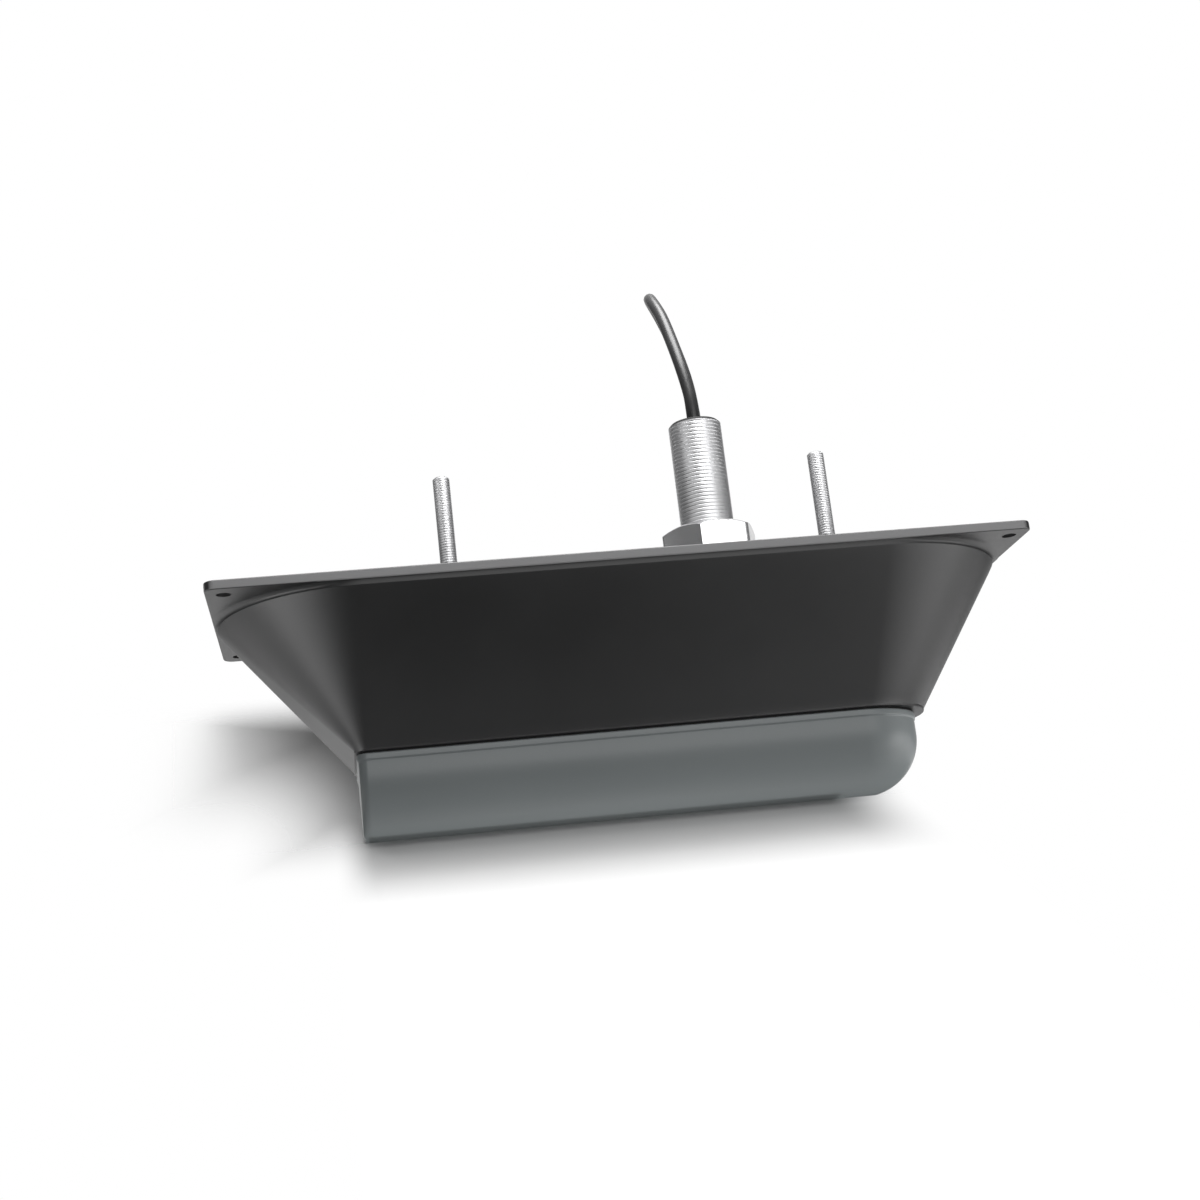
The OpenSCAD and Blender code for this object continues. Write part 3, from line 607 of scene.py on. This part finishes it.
plug = dict(
    columns=120,
    bootColumns=64,
    bootSteps=60,
    bootWall=0.9 * mm,
    bootRibs=5,
    ribDeep=0.55 * mm,
    ribbed=0.8,  # share of the boot's length
    wall=1.5 * mm,
    edge=0.6 * mm,
    socketFloor=4 * mm,
    collarGap=0.15 * mm,
    collarEdge=0.8 * mm,
    grips=24,
    gripDeep=0.45 * mm,
    bodyFlutes=8,
    fluteDeep=0.5 * mm,
)


def plugRings(axisY, axisZ, profile, columns, wave=None):
    # rings round an axis along X; a profile's third value is the share of the wave it takes
    rings = []
    for x, r, share in profile:
        ring = []
        for k in range(columns):
            a = 2 * math.pi * k / columns
            reach = r - (wave(a) * share if wave else 0)
            ring.append(Vector((x, axisY + reach * math.cos(a), axisZ + reach * math.sin(a))))
        rings.append(ring)
    return rings


def makePlug(s):
    low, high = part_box("connector_boot")
    y = (low.y + high.y) / 2
    z = (low.z + high.z) / 2
    thin = cable["radius"] + s["bootWall"]
    thick = (high.z - low.z) / 2
    length = high.x - low.x
    profile = [(low.x, cable["radius"] * 0.9, 0), (low.x, thin - 0.3 * mm, 0)]
    for k in range(1, s["bootSteps"] + 1):
        t = k / s["bootSteps"]
        rib = 0.5 - 0.5 * math.cos(2 * math.pi * s["bootRibs"] * min(t / s["ribbed"], 1.0))
        r = thin + (thick - thin) * t ** 1.3 - s["ribDeep"] * rib
        profile.append((low.x + length * t, r, 0))
    boot = loft("plugBoot", plugRings(y, z, profile, s["bootColumns"]))
    smooth(boot, 40)

    low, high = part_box("connector_body")
    collarLow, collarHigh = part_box("connector_collar")
    r = (high.z - low.z) / 2
    neck = r - s["wall"]
    socket = neck - s["wall"]
    edge = s["edge"]
    face = collarLow.x
    floor = face + s["socketFloor"]
    profile = [
        (low.x, r - 2.2 * mm, 0), (low.x, r - edge, 0), (low.x + edge * 0.3, r - edge * 0.3, 0),
        (low.x + edge, r, 0), (low.x + 4 * mm, r, 0), (low.x + 5 * mm, r, 1), (face - 3 * mm, r, 1),
        (face - 2 * mm, r, 0), (face - edge, r, 0), (face, r - edge, 0), (face, neck, 0),
        (high.x - 0.4 * mm, neck, 0), (high.x, neck - 0.4 * mm, 0), (high.x, socket + 0.3 * mm, 0),
        (high.x - 0.3 * mm, socket, 0), (floor, socket, 0),
    ]

    def flute(a):
        return s["fluteDeep"] * max(0.0, math.cos(s["bodyFlutes"] * a)) ** 2

    body = loft("plugBody", plugRings(y, z, profile, s["columns"], flute))
    smooth(body, 30)

    r = (collarHigh.z - collarLow.z) / 2
    bore = neck + s["collarGap"]
    edge = s["collarEdge"]
    profile = [
        (collarLow.x, bore, 0), (collarLow.x, r - edge, 0), (collarLow.x + edge, r, 0),
        (collarLow.x + 2.2 * mm, r, 0), (collarLow.x + 2.8 * mm, r, 1),
        (collarHigh.x - 3.0 * mm, r, 1), (collarHigh.x - 2.4 * mm, r, 0),
        (collarHigh.x - edge, r, 0), (collarHigh.x, r - edge, 0),
        (collarHigh.x, bore + 0.4 * mm, 0), (collarHigh.x - 0.4 * mm, bore, 0),
    ]

    def grip(a):
        return s["gripDeep"] * (0.5 - 0.5 * math.cos(s["grips"] * a))

    collar = loft("plugCollar", plugRings(y, z, profile, 8 * s["grips"], grip), loop=True)
    smooth(collar, 30)
    dress(boot, "cable_jacket", "connector_boot")
    dress(body, "plug_plastic", "connector_body")
    dress(collar, "plug_plastic", "connector_collar")
    return [boot, body, collar]


plugPieces = makePlug(plug)

print("plug and strap made")


# fairing: flange, rim and sloping shell in one moulding

fairing = dict(
    flangeCorner=5 * mm, edgeRound=0.7 * mm,
    holeRadius=3.25 * mm, holeEdgeX=8 * mm, holeEdgeY=10 * mm,
    rimHeight=2.8 * mm, rimStern=1.5 * mm, rimBow=1 * mm, rimSide=0.4 * mm,
    rimFillet=3.2 * mm, rimRound=0.6 * mm, rimWall=4.6 * mm, rimOverlap=1.2 * mm, shellSteps=24,
    lipLand=1.2 * mm, lipOver=1.6 * mm, lipBowOver=5.4 * mm, lipRound=0.5 * mm,
    lipShoulder=2.5 * mm,
    studBore=4.3 * mm, studSink=6.45 * mm, studSinkDeep=2.0 * mm,
    stemBore=12.8 * mm, stemSink=15.3 * mm, stemSinkDeep=2.2 * mm,
)
window = dict(
    width=62 * mm, height=35.2 * mm, edgeRadius=26 * mm, corner=4 * mm, wall=5.5 * mm,
    band=3 * mm, bandProud=0.5 * mm, sternRound=3 * mm, shoulder=2.65 * mm, topRound=0.7 * mm,
    leastCorner=0.8 * mm, leastRound=0.5 * mm, wallLevels=[28 * mm, 30 * mm],
)
windowHalf = window["width"] / 2
windowStern = windowLow.x + window["bandProud"]
windowBowMid = windowHigh.x - window["bandProud"] - windowHalf


def fairingShell(s, deckZ, lipZ):
    rimZ = deckZ - s["rimHeight"]
    rimR = (housingHigh.y - housingLow.y) / 2 - s["rimSide"]
    rimStern = housingLow.x + s["rimStern"]
    rimBowMid = housingHigh.x - s["rimBow"] - rimR
    lipR = windowHalf + s["lipOver"]
    lipStern = windowStern - s["lipOver"]
    lipBowMid = windowBowMid + windowHalf + s["lipBowOver"] - lipR
    lipCorner = window["corner"] + s["lipOver"]
    flat = 0.3 * mm

    def rim(inset, z):
        r = rimR - inset
        return atHeight(keelOutline(rimStern + inset, rimBowMid, r, r - flat), z)

    def lip(inset, z):
        return atHeight(keelOutline(lipStern + inset, lipBowMid, lipR - inset, lipCorner - inset), z)

    def opening(z):
        inset = s["lipShoulder"]
        corner = max(window["corner"] - inset, window["leastRound"])
        return atHeight(keelOutline(windowStern + inset, windowBowMid, windowHalf - inset, corner), z)

    def flared(z, share):
        # the concave fillet under the flange, held inside the flange's own edge
        ring = []
        rise = s["rimHeight"] - s["rimRound"]
        for p, inner in zip(rim(0, z), rim(1 * mm, z)):
            out = (p - inner).normalized()
            roomX = (housingHigh.x - abs(p.x)) / max(abs(out.x), 1e-6)
            roomY = (housingHigh.y - abs(p.y)) / max(abs(out.y), 1e-6)
            flare = min(s["rimFillet"], max(min(roomX, roomY) - 0.12 * mm, 0.1 * mm))
            drop = rise * (1 - math.sin(share * math.pi / 2))
            ring.append(p + out * flare * (1 - math.cos(share * math.pi / 2)) - Vector((0, 0, drop)))
        return ring

    e = s["lipRound"]
    rings = [lip(e, lipZ), lip(e * 0.3, lipZ + e * 0.3), lip(0, lipZ + e), lip(0, lipZ + s["lipLand"])]
    foot = rings[-1]
    head = rim(0, rimZ)
    for k in range(1, s["shellSteps"]):
        rings.append(lerpRing(foot, head, k / s["shellSteps"]))
    b = s["rimRound"]
    for inset, rise in [(0.12, 0.08), (0.03, 0.35), (0.0, 0.65)]:
        rings.append(rim(inset * b, rimZ + rise * b))
    for k in range(0, 9):
        rings.append(flared(deckZ, k / 8))
    inFlange = s["rimOverlap"]
    rings.append([p + Vector((0, 0, inFlange)) for p in flared(deckZ, 0.9)])
    rings.append(rim(s["rimWall"], deckZ + inFlange))
    rings.append(rim(s["rimWall"], rimZ))
    rings.append(opening(lipZ + s["lipLand"]))
    rings.append(opening(lipZ))
    return loft("fairingShell", rings, loop=True)


def flangePlate(s, deckZ):
    halfX = (housingHigh.x - housingLow.x) / 2
    halfY = (housingHigh.y - housingLow.y) / 2
    e = s["edgeRound"]
    rings = []
    for k in range(0, 7):
        a = k / 6 * math.pi / 2
        inset = e * (1 - math.sin(a))
        outline = platOutline(halfX - inset, halfY - inset, s["flangeCorner"] - inset, 14)
        rings.append(atHeight(outline, deckZ + e * (1 - math.cos(a))))
    for ring in list(reversed(rings)):
        rings.append([Vector((p.x, p.y, deckZ + topZ - p.z)) for p in ring])
    return loft("flangePlate", rings)


def rod(x, y, r, low, high, columns=72):
    return loft("rod", [circleRing(x, y, r, z, columns) for z in (low, high)])


def makeFairing(s):
    deckZ = topZ - flangeThick
    past = 1 * mm
    body = flangePlate(s, deckZ)
    cut(body, fairingShell(s, deckZ, housingLow.z), "UNION")
    holes = []
    for sx in (-1, 1):
        for sy in (-1, 1):
            x = sx * (housingHigh.x - s["holeEdgeX"])
            y = sy * (housingHigh.y - s["holeEdgeY"])
            holes.append(rod(x, y, s["holeRadius"], deckZ - past, topZ + past))
    cut(body, joined("cornerHoles", holes), "DIFFERENCE")
    bores = [rod(x, 0, s["studBore"], deckZ - past, topZ - past) for x in studXs]
    bores.append(rod(stemX, 0, s["stemBore"], deckZ - past, topZ - past))
    cut(body, joined("deckBores", bores), "DIFFERENCE")
    sinks = [rod(x, 0, s["studSink"], topZ - s["studSinkDeep"], topZ + past) for x in studXs]
    sinks.append(rod(stemX, 0, s["stemSink"], topZ - s["stemSinkDeep"], topZ + past))
    cut(body, joined("deckSinks", sinks), "DIFFERENCE")
    body.name = "fairing"
    smooth(body, 32)
    return dress(body, "fairing_plastic", "fairing_housing")


fairingPiece = makeFairing(fairing)
print("fairing moulded")


# acoustic window: a cup with rounded lower edges, half-round bow and raised band


def makeWindow(s):
    def cup(inset, angle):
        # a level of the rounded lower edge, from the flat at 0 to the upright wall at 90 degrees
        a = math.radians(angle)
        r = s["edgeRadius"] - inset
        half = windowHalf - s["edgeRadius"] + r * math.sin(a)
        z = r * (1 - math.cos(a))
        soft = max(s["sternRound"] - inset, s["leastRound"])
        tuck = soft - math.sqrt(max(soft ** 2 - max(soft - z, 0) ** 2, 0))
        corner = min(max(s["corner"] - inset, s["leastCorner"]), half * 0.9)
        return atHeight(keelOutline(windowStern + inset + tuck, windowBowMid, half, corner), inset + z)

    def wall(inset, z):
        corner = max(s["corner"] - inset, s["leastCorner"])
        return atHeight(keelOutline(windowStern + inset, windowBowMid, windowHalf - inset, corner), z)

    p = s["bandProud"]
    top = s["height"]
    step = top - s["band"]
    e = s["topRound"]
    angles = [0, 2, 4, 7] + list(range(10, 91, 4)) + [90]
    rings = [cup(0, a) for a in angles]
    rings += [wall(0, z) for z in s["wallLevels"] + [step - 0.5 * mm]]
    for share, rise in ((0.12, -0.2), (0.5, 0), (0.88, 0.2), (1, 0.5)):
        rings.append(wall(-p * share, step + rise * mm))
    for inset, drop in ((0, 1), (0.07, 0.62), (0.29, 0.29), (0.62, 0.07), (1, 0)):
        rings.append(wall(-p + inset * e, top - drop * e))
    rings += [wall(s["shoulder"], top), wall(s["shoulder"], windowHigh.z)]
    rings.append(wall(s["wall"], windowHigh.z))
    rings += [cup(s["wall"], a) for a in reversed(angles)]
    piece = loft("acousticWindow", rings)
    smooth(piece, 35)
    return dress(piece, "window_plastic", "acoustic_window")


windowPiece = makeWindow(window)
print("window cast")


# threads


def threadRings(x, y, s, low, high):
    # rings whose radius follows a rounded helix, with a turned-off start
    rows = round((high - low) / s["pitch"] * s["perTurn"])
    rings = []
    for row in range(rows + 1):
        z = low + (high - low) * row / rows
        rim = s["radius"] - max(0.0, z - (high - s["chamfer"]))
        ring = []
        for c in range(s["columns"]):
            a = 2 * math.pi * c / s["columns"]
            turn = (z / s["pitch"] - c / s["columns"]) % 1
            groove = 1 - ease(abs(turn - 0.5) / s["groove"])
            r = min(rim, s["radius"] - s["deep"] * groove)
            ring.append(Vector((x + r * math.cos(a), y + r * math.sin(a), z)))
        rings.append(ring)
    return rings


stem = dict(radius=12.7 * mm, pitch=1.814 * mm, deep=0.22 * mm, groove=0.18, chamfer=1.2 * mm,
            columns=96, perTurn=14,
            shank=11.9 * mm, bore=6.5 * mm, seat=9.65 * mm, seatDeep=14 * mm, seatEdge=0.4 * mm,
            headThick=5 * mm, headEdge=0.5 * mm, inNut=2 * mm)
stud = dict(radius=4 * mm, pitch=1.25 * mm, deep=0.16 * mm, groove=0.22, chamfer=0.8 * mm,
            columns=48, perTurn=8,
            shank=3.5 * mm, relief=0.5 * mm, footThick=2.5 * mm)
nut = dict(flats=41.3 * mm, turn=10, face=0.95, rounding=0.35 * mm, bore=12.85 * mm, sink=0.9 * mm,
           cornerCut=0.25 * mm, chamferTurn=30, columns=180)


def makeStem(s):
    def ring(r, z):
        return circleRing(stemX, 0, r, z, s["columns"])

    head = (stemHigh.x - stemLow.x) / 2
    plate = stemLow.z + s["headThick"]
    seat = stemHigh.z - s["seatDeep"]
    start = nutHigh.z - s["inNut"]
    edge = s["headEdge"]
    rings = [ring(s["bore"], stemLow.z), ring(head - edge, stemLow.z)]
    rings += [ring(head, stemLow.z + edge), ring(head, plate)]
    rings += [ring(s["shank"], plate), ring(s["shank"], start - edge)]
    rings += threadRings(stemX, 0, s, start, stemHigh.z)
    rings += [ring(s["seat"] + s["seatEdge"], stemHigh.z), ring(s["seat"], stemHigh.z - s["seatEdge"])]
    rings += [ring(s["seat"], seat), ring(s["bore"], seat)]
    piece = loft("threadedStem", rings, loop=True)
    smooth(piece, 60)
    return dress(piece, "stainless", "stem")


def makeStuds(s):
    footTop = studLow.z + s["footThick"]
    levels = [
        (studFoot, studLow.z), (studFoot, footTop),
        (s["shank"], footTop), (s["shank"], topZ + 0.8 * s["relief"]),
    ]
    parts = []
    for x in studXs:
        rings = [circleRing(x, 0, r, z, s["columns"]) for r, z in levels]
        rings += threadRings(x, 0, s, topZ + s["relief"], studHigh.z)
        parts.append(loft("stud", rings))
    piece = joined("threadedStuds", parts)
    smooth(piece, 60)
    dress(piece, "stainless", "mounting_studs")
    piece.data.materials[0] = studSteel
    return piece


def makeNut(s):
    columns = s["columns"]
    low = nutLow.z
    high = nutHigh.z
    half = s["flats"] / 2
    face = half * s["face"]
    corner = half / math.cos(math.radians(30))

    def soft(a, b):
        # the smaller of two radii, with the edge between them rounded
        k = s["rounding"]
        h = max(k - abs(a - b), 0.0) / k
        return min(a, b) - h * h * k / 4

    def hexRing(z):
        ring = []
        end = min(z - low, high - z)
        cone = face + end / math.tan(math.radians(s["chamferTurn"]))
        for c in range(columns):
            a = 2 * math.pi * c / columns
            off = (math.degrees(a) - s["turn"]) % 60 - 30
            r = soft(half / math.cos(math.radians(off)), corner - s["cornerCut"])
            r = soft(r, cone)
            ring.append(Vector((stemX + r * math.cos(a), r * math.sin(a), z)))
        return ring

    def ring(r, z):
        return circleRing(stemX, 0, r, z, columns)

    ends = [0, 0.1, 0.25, 0.45, 0.7, 1.0, 1.3, 1.6, 1.9, 2.2, 2.5, 2.8, 3.1, 3.5, 4.0]
    heights = [low + e * mm for e in ends]
    heights += [low + (high - low) * k / 4 for k in (1, 2, 3)]
    heights += [high - e * mm for e in reversed(ends)]
    rings = [hexRing(z) for z in heights]
    rings += [ring(s["bore"] + s["sink"], high), ring(s["bore"], high - s["sink"])]
    rings += [ring(s["bore"], low + s["sink"]), ring(s["bore"] + s["sink"], low)]
    piece = loft("stemNut", rings, loop=True)
    smooth(piece, 24)
    return dress(piece, "nut_steel", "stem_nut")


steelPieces = [makeStem(stem), makeStuds(stud), makeNut(nut)]
print("threads cut")


# studio: a level floor, and a sweep that carries the shadow for a camera below the floor's level

studio = dict(
    floorSize=1.6,
    fade=(0.36, 0.5),  # shares of floorSize
    white=0.70,
    lift=0.0,
    contactWhite=0.08,
    contactReach=0.06,
    mirrorTo=-0.04,
    mirrorEdge=0.02,
)
sweep = dict(
    halfWidth=0.8,
    front=-0.7,
    frontSlope=24,  # degrees
    backSlope=56,
    bendFrom=-0.012,
    bendTo=0.024,
    back=0.12,
    sink=0.3 * mm,
    clearFrom=-0.118,
    clearTo=0.08,
    clearEdge=0.004,
    topFade=(0.058, 0.085),
    bowFade=(0.004, 0.008),
    leftFade=(0.125, 0.26),
    rightFade=(0.09, 0.13),
    lowFades=[(0.118, 0.138, 0.03, 0.05), (0.11, 0.185, 0.073, 0.072)],  # across, height and its fade
    white=0.70,
    lift=0.03,
    contactWhite=0.42,
    contactReach=0.042,
)


def stagePiece(name, bm):
    piece = addMesh(name, bm)
    piece.visible_shadow = False
    piece.visible_diffuse = False
    piece.visible_glossy = False
    piece.visible_transmission = False
    return piece


def paleSurface(f, s, seeThrough, bleached=0.0):
    # white paint with a camera lift, with painted contact shade from ambient occlusion close under the
    # object, plain white where bleached is 1
    sky = f.add("ShaderNodeAmbientOcclusion", {"samples": 8}, {"Distance": s["contactReach"]}, out="AO")
    shade = f.mix(sky, grey(s["contactWhite"]), grey(s["white"]))
    coat = f.add("ShaderNodeBsdfDiffuse", None, {"Color": shade})
    glow = f.add("ShaderNodeEmission", None, {"Strength": s["lift"]})
    paint = f.add("ShaderNodeAddShader", None, {0: coat, 1: glow})
    blank = f.add("ShaderNodeEmission")
    paint = f.add("ShaderNodeMixShader", None, {0: bleached, 1: paint, 2: blank})
    clear = f.add("ShaderNodeBsdfTransparent")
    shader = f.add("ShaderNodeMixShader", None, {0: seeThrough, 1: paint, 2: clear})
    f.add("ShaderNodeOutputMaterial", None, {"Surface": shader})


def makeFloor(s):
    bm = bmesh.new()
    bmesh.ops.create_grid(bm, x_segments=1, y_segments=1, size=s["floorSize"] / 2)
    floor = stagePiece("floor", bm)
    material, f = newFinish("paleFloor")
    far = f.add("ShaderNodeVectorMath", {"operation": "LENGTH"}, {0: f.place()}, out="Value")
    below = f.add("ShaderNodeNewGeometry", out="Backfacing")
    fade = f.spread(far, *[share * s["floorSize"] for share in s["fade"]])
    mirrored = f.add("ShaderNodeLightPath", out="Is Glossy Ray")
    ahead = f.spread(s["mirrorTo"] - f.split(f.place())[1], 0.0, s["mirrorEdge"])
    paleSurface(f, s, f.larger(f.larger(below, fade), mirrored * ahead))
    floor.visible_glossy = True
    floor.data.materials.append(material)


footShade = dict(length=0.215, width=0.023, place=(-0.0145, 0, -0.5 * mm))


def makeFootShade(s):
    # the strip of floor that the window stands on, which keeps light from below off its foot
    bm = bmesh.new()
    bmesh.ops.create_grid(bm, x_segments=1, y_segments=1, size=0.5)
    bmesh.ops.scale(bm, vec=(s["length"], s["width"], 1), verts=bm.verts)
    strip = stagePiece("footShade", bm)
    strip.location = s["place"]
    strip.visible_camera = False
    strip.visible_shadow = True


def sweepProfile(s):
    # a gentle slope up to the object, bending to a steep card behind it
    steps = [s["front"]] + [s["front"] * 0.5 ** k for k in range(1, 6)]
    steps += [s["bendFrom"] + (s["bendTo"] - s["bendFrom"]) * k / 16 for k in range(17)]
    steps += [s["bendTo"] + (s["back"] - s["bendTo"]) * k / 8 for k in range(1, 9)]
    heights = [0.0]
    for y0, y1 in zip(steps, steps[1:]):
        bend = min(max(((y0 + y1) / 2 - s["bendFrom"]) / (s["bendTo"] - s["bendFrom"]), 0.0), 1.0)
        slope = s["frontSlope"] + (s["backSlope"] - s["frontSlope"]) * bend
        heights.append(heights[-1] + (y1 - y0) * math.tan(math.radians(slope)))
    nearest = min(range(len(steps)), key=lambda i: abs(steps[i]))
    level = heights[nearest] + s["sink"]
    return [(y, z - level) for y, z in zip(steps, heights)]


def makeSweep(s):
    bm = bmesh.new()
    rows = []
    for y, z in sweepProfile(s):
        rows.append([bm.verts.new((x, y, z)) for x in (-s["halfWidth"], s["halfWidth"])])
    for low, high in zip(rows, rows[1:]):
        bm.faces.new((low[0], low[1], high[1], high[0])).smooth = True
    piece = stagePiece("sweep", bm)
    material, f = newFinish("paleSweep")
    x, z = f.split(f.place())[::2]
    middle = f.spread(x, s["clearFrom"] - s["clearEdge"], s["clearFrom"])
    middle = middle - f.spread(x, s["clearTo"], s["clearTo"] + s["clearEdge"])
    bow = f.spread(x, 0.0, s["clearTo"])
    high = f.larger(f.spread(z, *s["topFade"]), bow * f.spread(z, *s["bowFade"]))
    edges = f.larger(f.spread(0 - x, *s["leftFade"]), f.spread(x, *s["rightFade"]))
    for near, far, height, fade in s["lowFades"]:
        edges = f.larger(edges, f.spread(0 - x, near, far) * f.spread(height - z, 0.0, fade))
    risen = z > 0.0
    hidden = risen * f.larger(f.larger(middle, high), edges)
    behind = f.add("ShaderNodeNewGeometry", out="Backfacing")
    paleSurface(f, s, f.larger(hidden, behind), (1 - risen) * edges)
    piece.data.materials.append(material)


room = dict(
    sides=0.17,
    ceiling=0.95, ceilingFrom=(0.35, 0.95),
    below=0.70, belowFrom=(0.05, 0.5),
    dark=0.004, darkWays=[(-0.32, -0.86, -0.40), (-0.25, -0.60, -0.76)], darkFrom=(0.66, 0.94),
    backWay=(0.15, 0.95, 0.26), backFrom=(0.78, 0.97),
)


def makeWorld(s):
    # white for the camera; for light and gloss a room with a bright ceiling, dark below in front
    world = bpy.data.worlds.new("room")
    world.use_nodes = True
    scene.world = world
    f = Finish(world.node_tree)
    way = f.add("ShaderNodeTexCoord", out="Generated")
    z = f.split(way)[2]
    dark = f.larger(*[f.towards(way, aim, *s["darkFrom"]) for aim in s["darkWays"]])
    tone = f.mix(f.spread(z, *s["ceilingFrom"]), grey(s["sides"]), grey(s["ceiling"]))
    tone = f.mix(f.spread(0 - z, *s["belowFrom"]), tone, grey(s["below"]))
    tone = f.mix(dark, tone, grey(s["dark"]))
    seen, glossy, passed = [
        f.add("ShaderNodeLightPath", out=ray)
        for ray in ("Is Camera Ray", "Is Glossy Ray", "Is Transmission Ray")
    ]
    backdrop = f.larger(glossy, passed) * f.towards(way, s["backWay"], *s["backFrom"])
    colour = f.mix(f.larger(seen, backdrop), tone, grey(1.0))
    light = f.add("ShaderNodeBackground", None, {"Color": colour})
    f.add("ShaderNodeOutputWorld", None, {"Surface": light})


sideLit = [fairingPiece] + steelPieces
threaded = steelPieces[:2]
stemMid = (0.05, 0, 0.15)
lamps = dict(
    top=dict(place=(0.1, -0.1, 1.3), aim=(0, 0, 0.1), size=(0.9, 0.7), power=23),
    front=dict(place=(0.35, -1.45, 0.52), aim=(0, 0, 0.12), size=(1.5, 0.7), power=9.2),
    left=dict(place=(-1.06, -0.28, -0.42), aim=(-0.1, 0, 0.06), size=(1.6, 0.5), power=11, only=sideLit),
    right=dict(place=(1.02, -0.5, -0.32), aim=(0.1, 0, 0.06), size=(1.9, 0.5), power=9.5, only=sideLit),
    bounce=dict(place=(0, 0.1, -0.55), aim=(0, 0, 0), size=(0.8, 0.4), power=2.2,
                only=[windowPiece], gloss=False),
    bow=dict(place=(1.1, -0.12, -0.2), aim=(0.12, 0, 0.02), size=(0.8, 0.5), power=5,
             only=[windowPiece]),
    cardLeft=dict(place=(-0.716, -0.643, 0.456), aim=stemMid, size=(1.2, 0.6), power=1.3, only=threaded),
    cardRight=dict(place=(0.916, -0.5, 0.456), aim=stemMid, size=(0.75, 0.6), power=0.75, only=threaded),
)


def makeLamps(lamps):
    for name, s in lamps.items():
        data = bpy.data.lights.new(name + "Box", "AREA")
        data.shape = "RECTANGLE"
        data.size, data.size_y = s["size"]
        data.energy = s["power"]
        lamp = bpy.data.objects.new(name + "Box", data)
        lamp.location = s["place"]
        aim = Vector(s["aim"]) - Vector(s["place"])
        lamp.rotation_euler = aim.to_track_quat("-Z", "Y").to_euler()
        lamp.visible_camera = False
        lamp.visible_glossy = s.get("gloss", True)
        scene.collection.objects.link(lamp)
        if "only" in s:
            lamp.light_linking.receiver_collection = bpy.data.collections.new(name + "Lit")
            for piece in s["only"]:
                lamp.light_linking.receiver_collection.objects.link(piece)


makeFloor(studio)
makeFootShade(footShade)
makeSweep(sweep)
makeWorld(room)
makeLamps(lamps)
scene.view_settings.view_transform = "Standard"
print("studio lit")
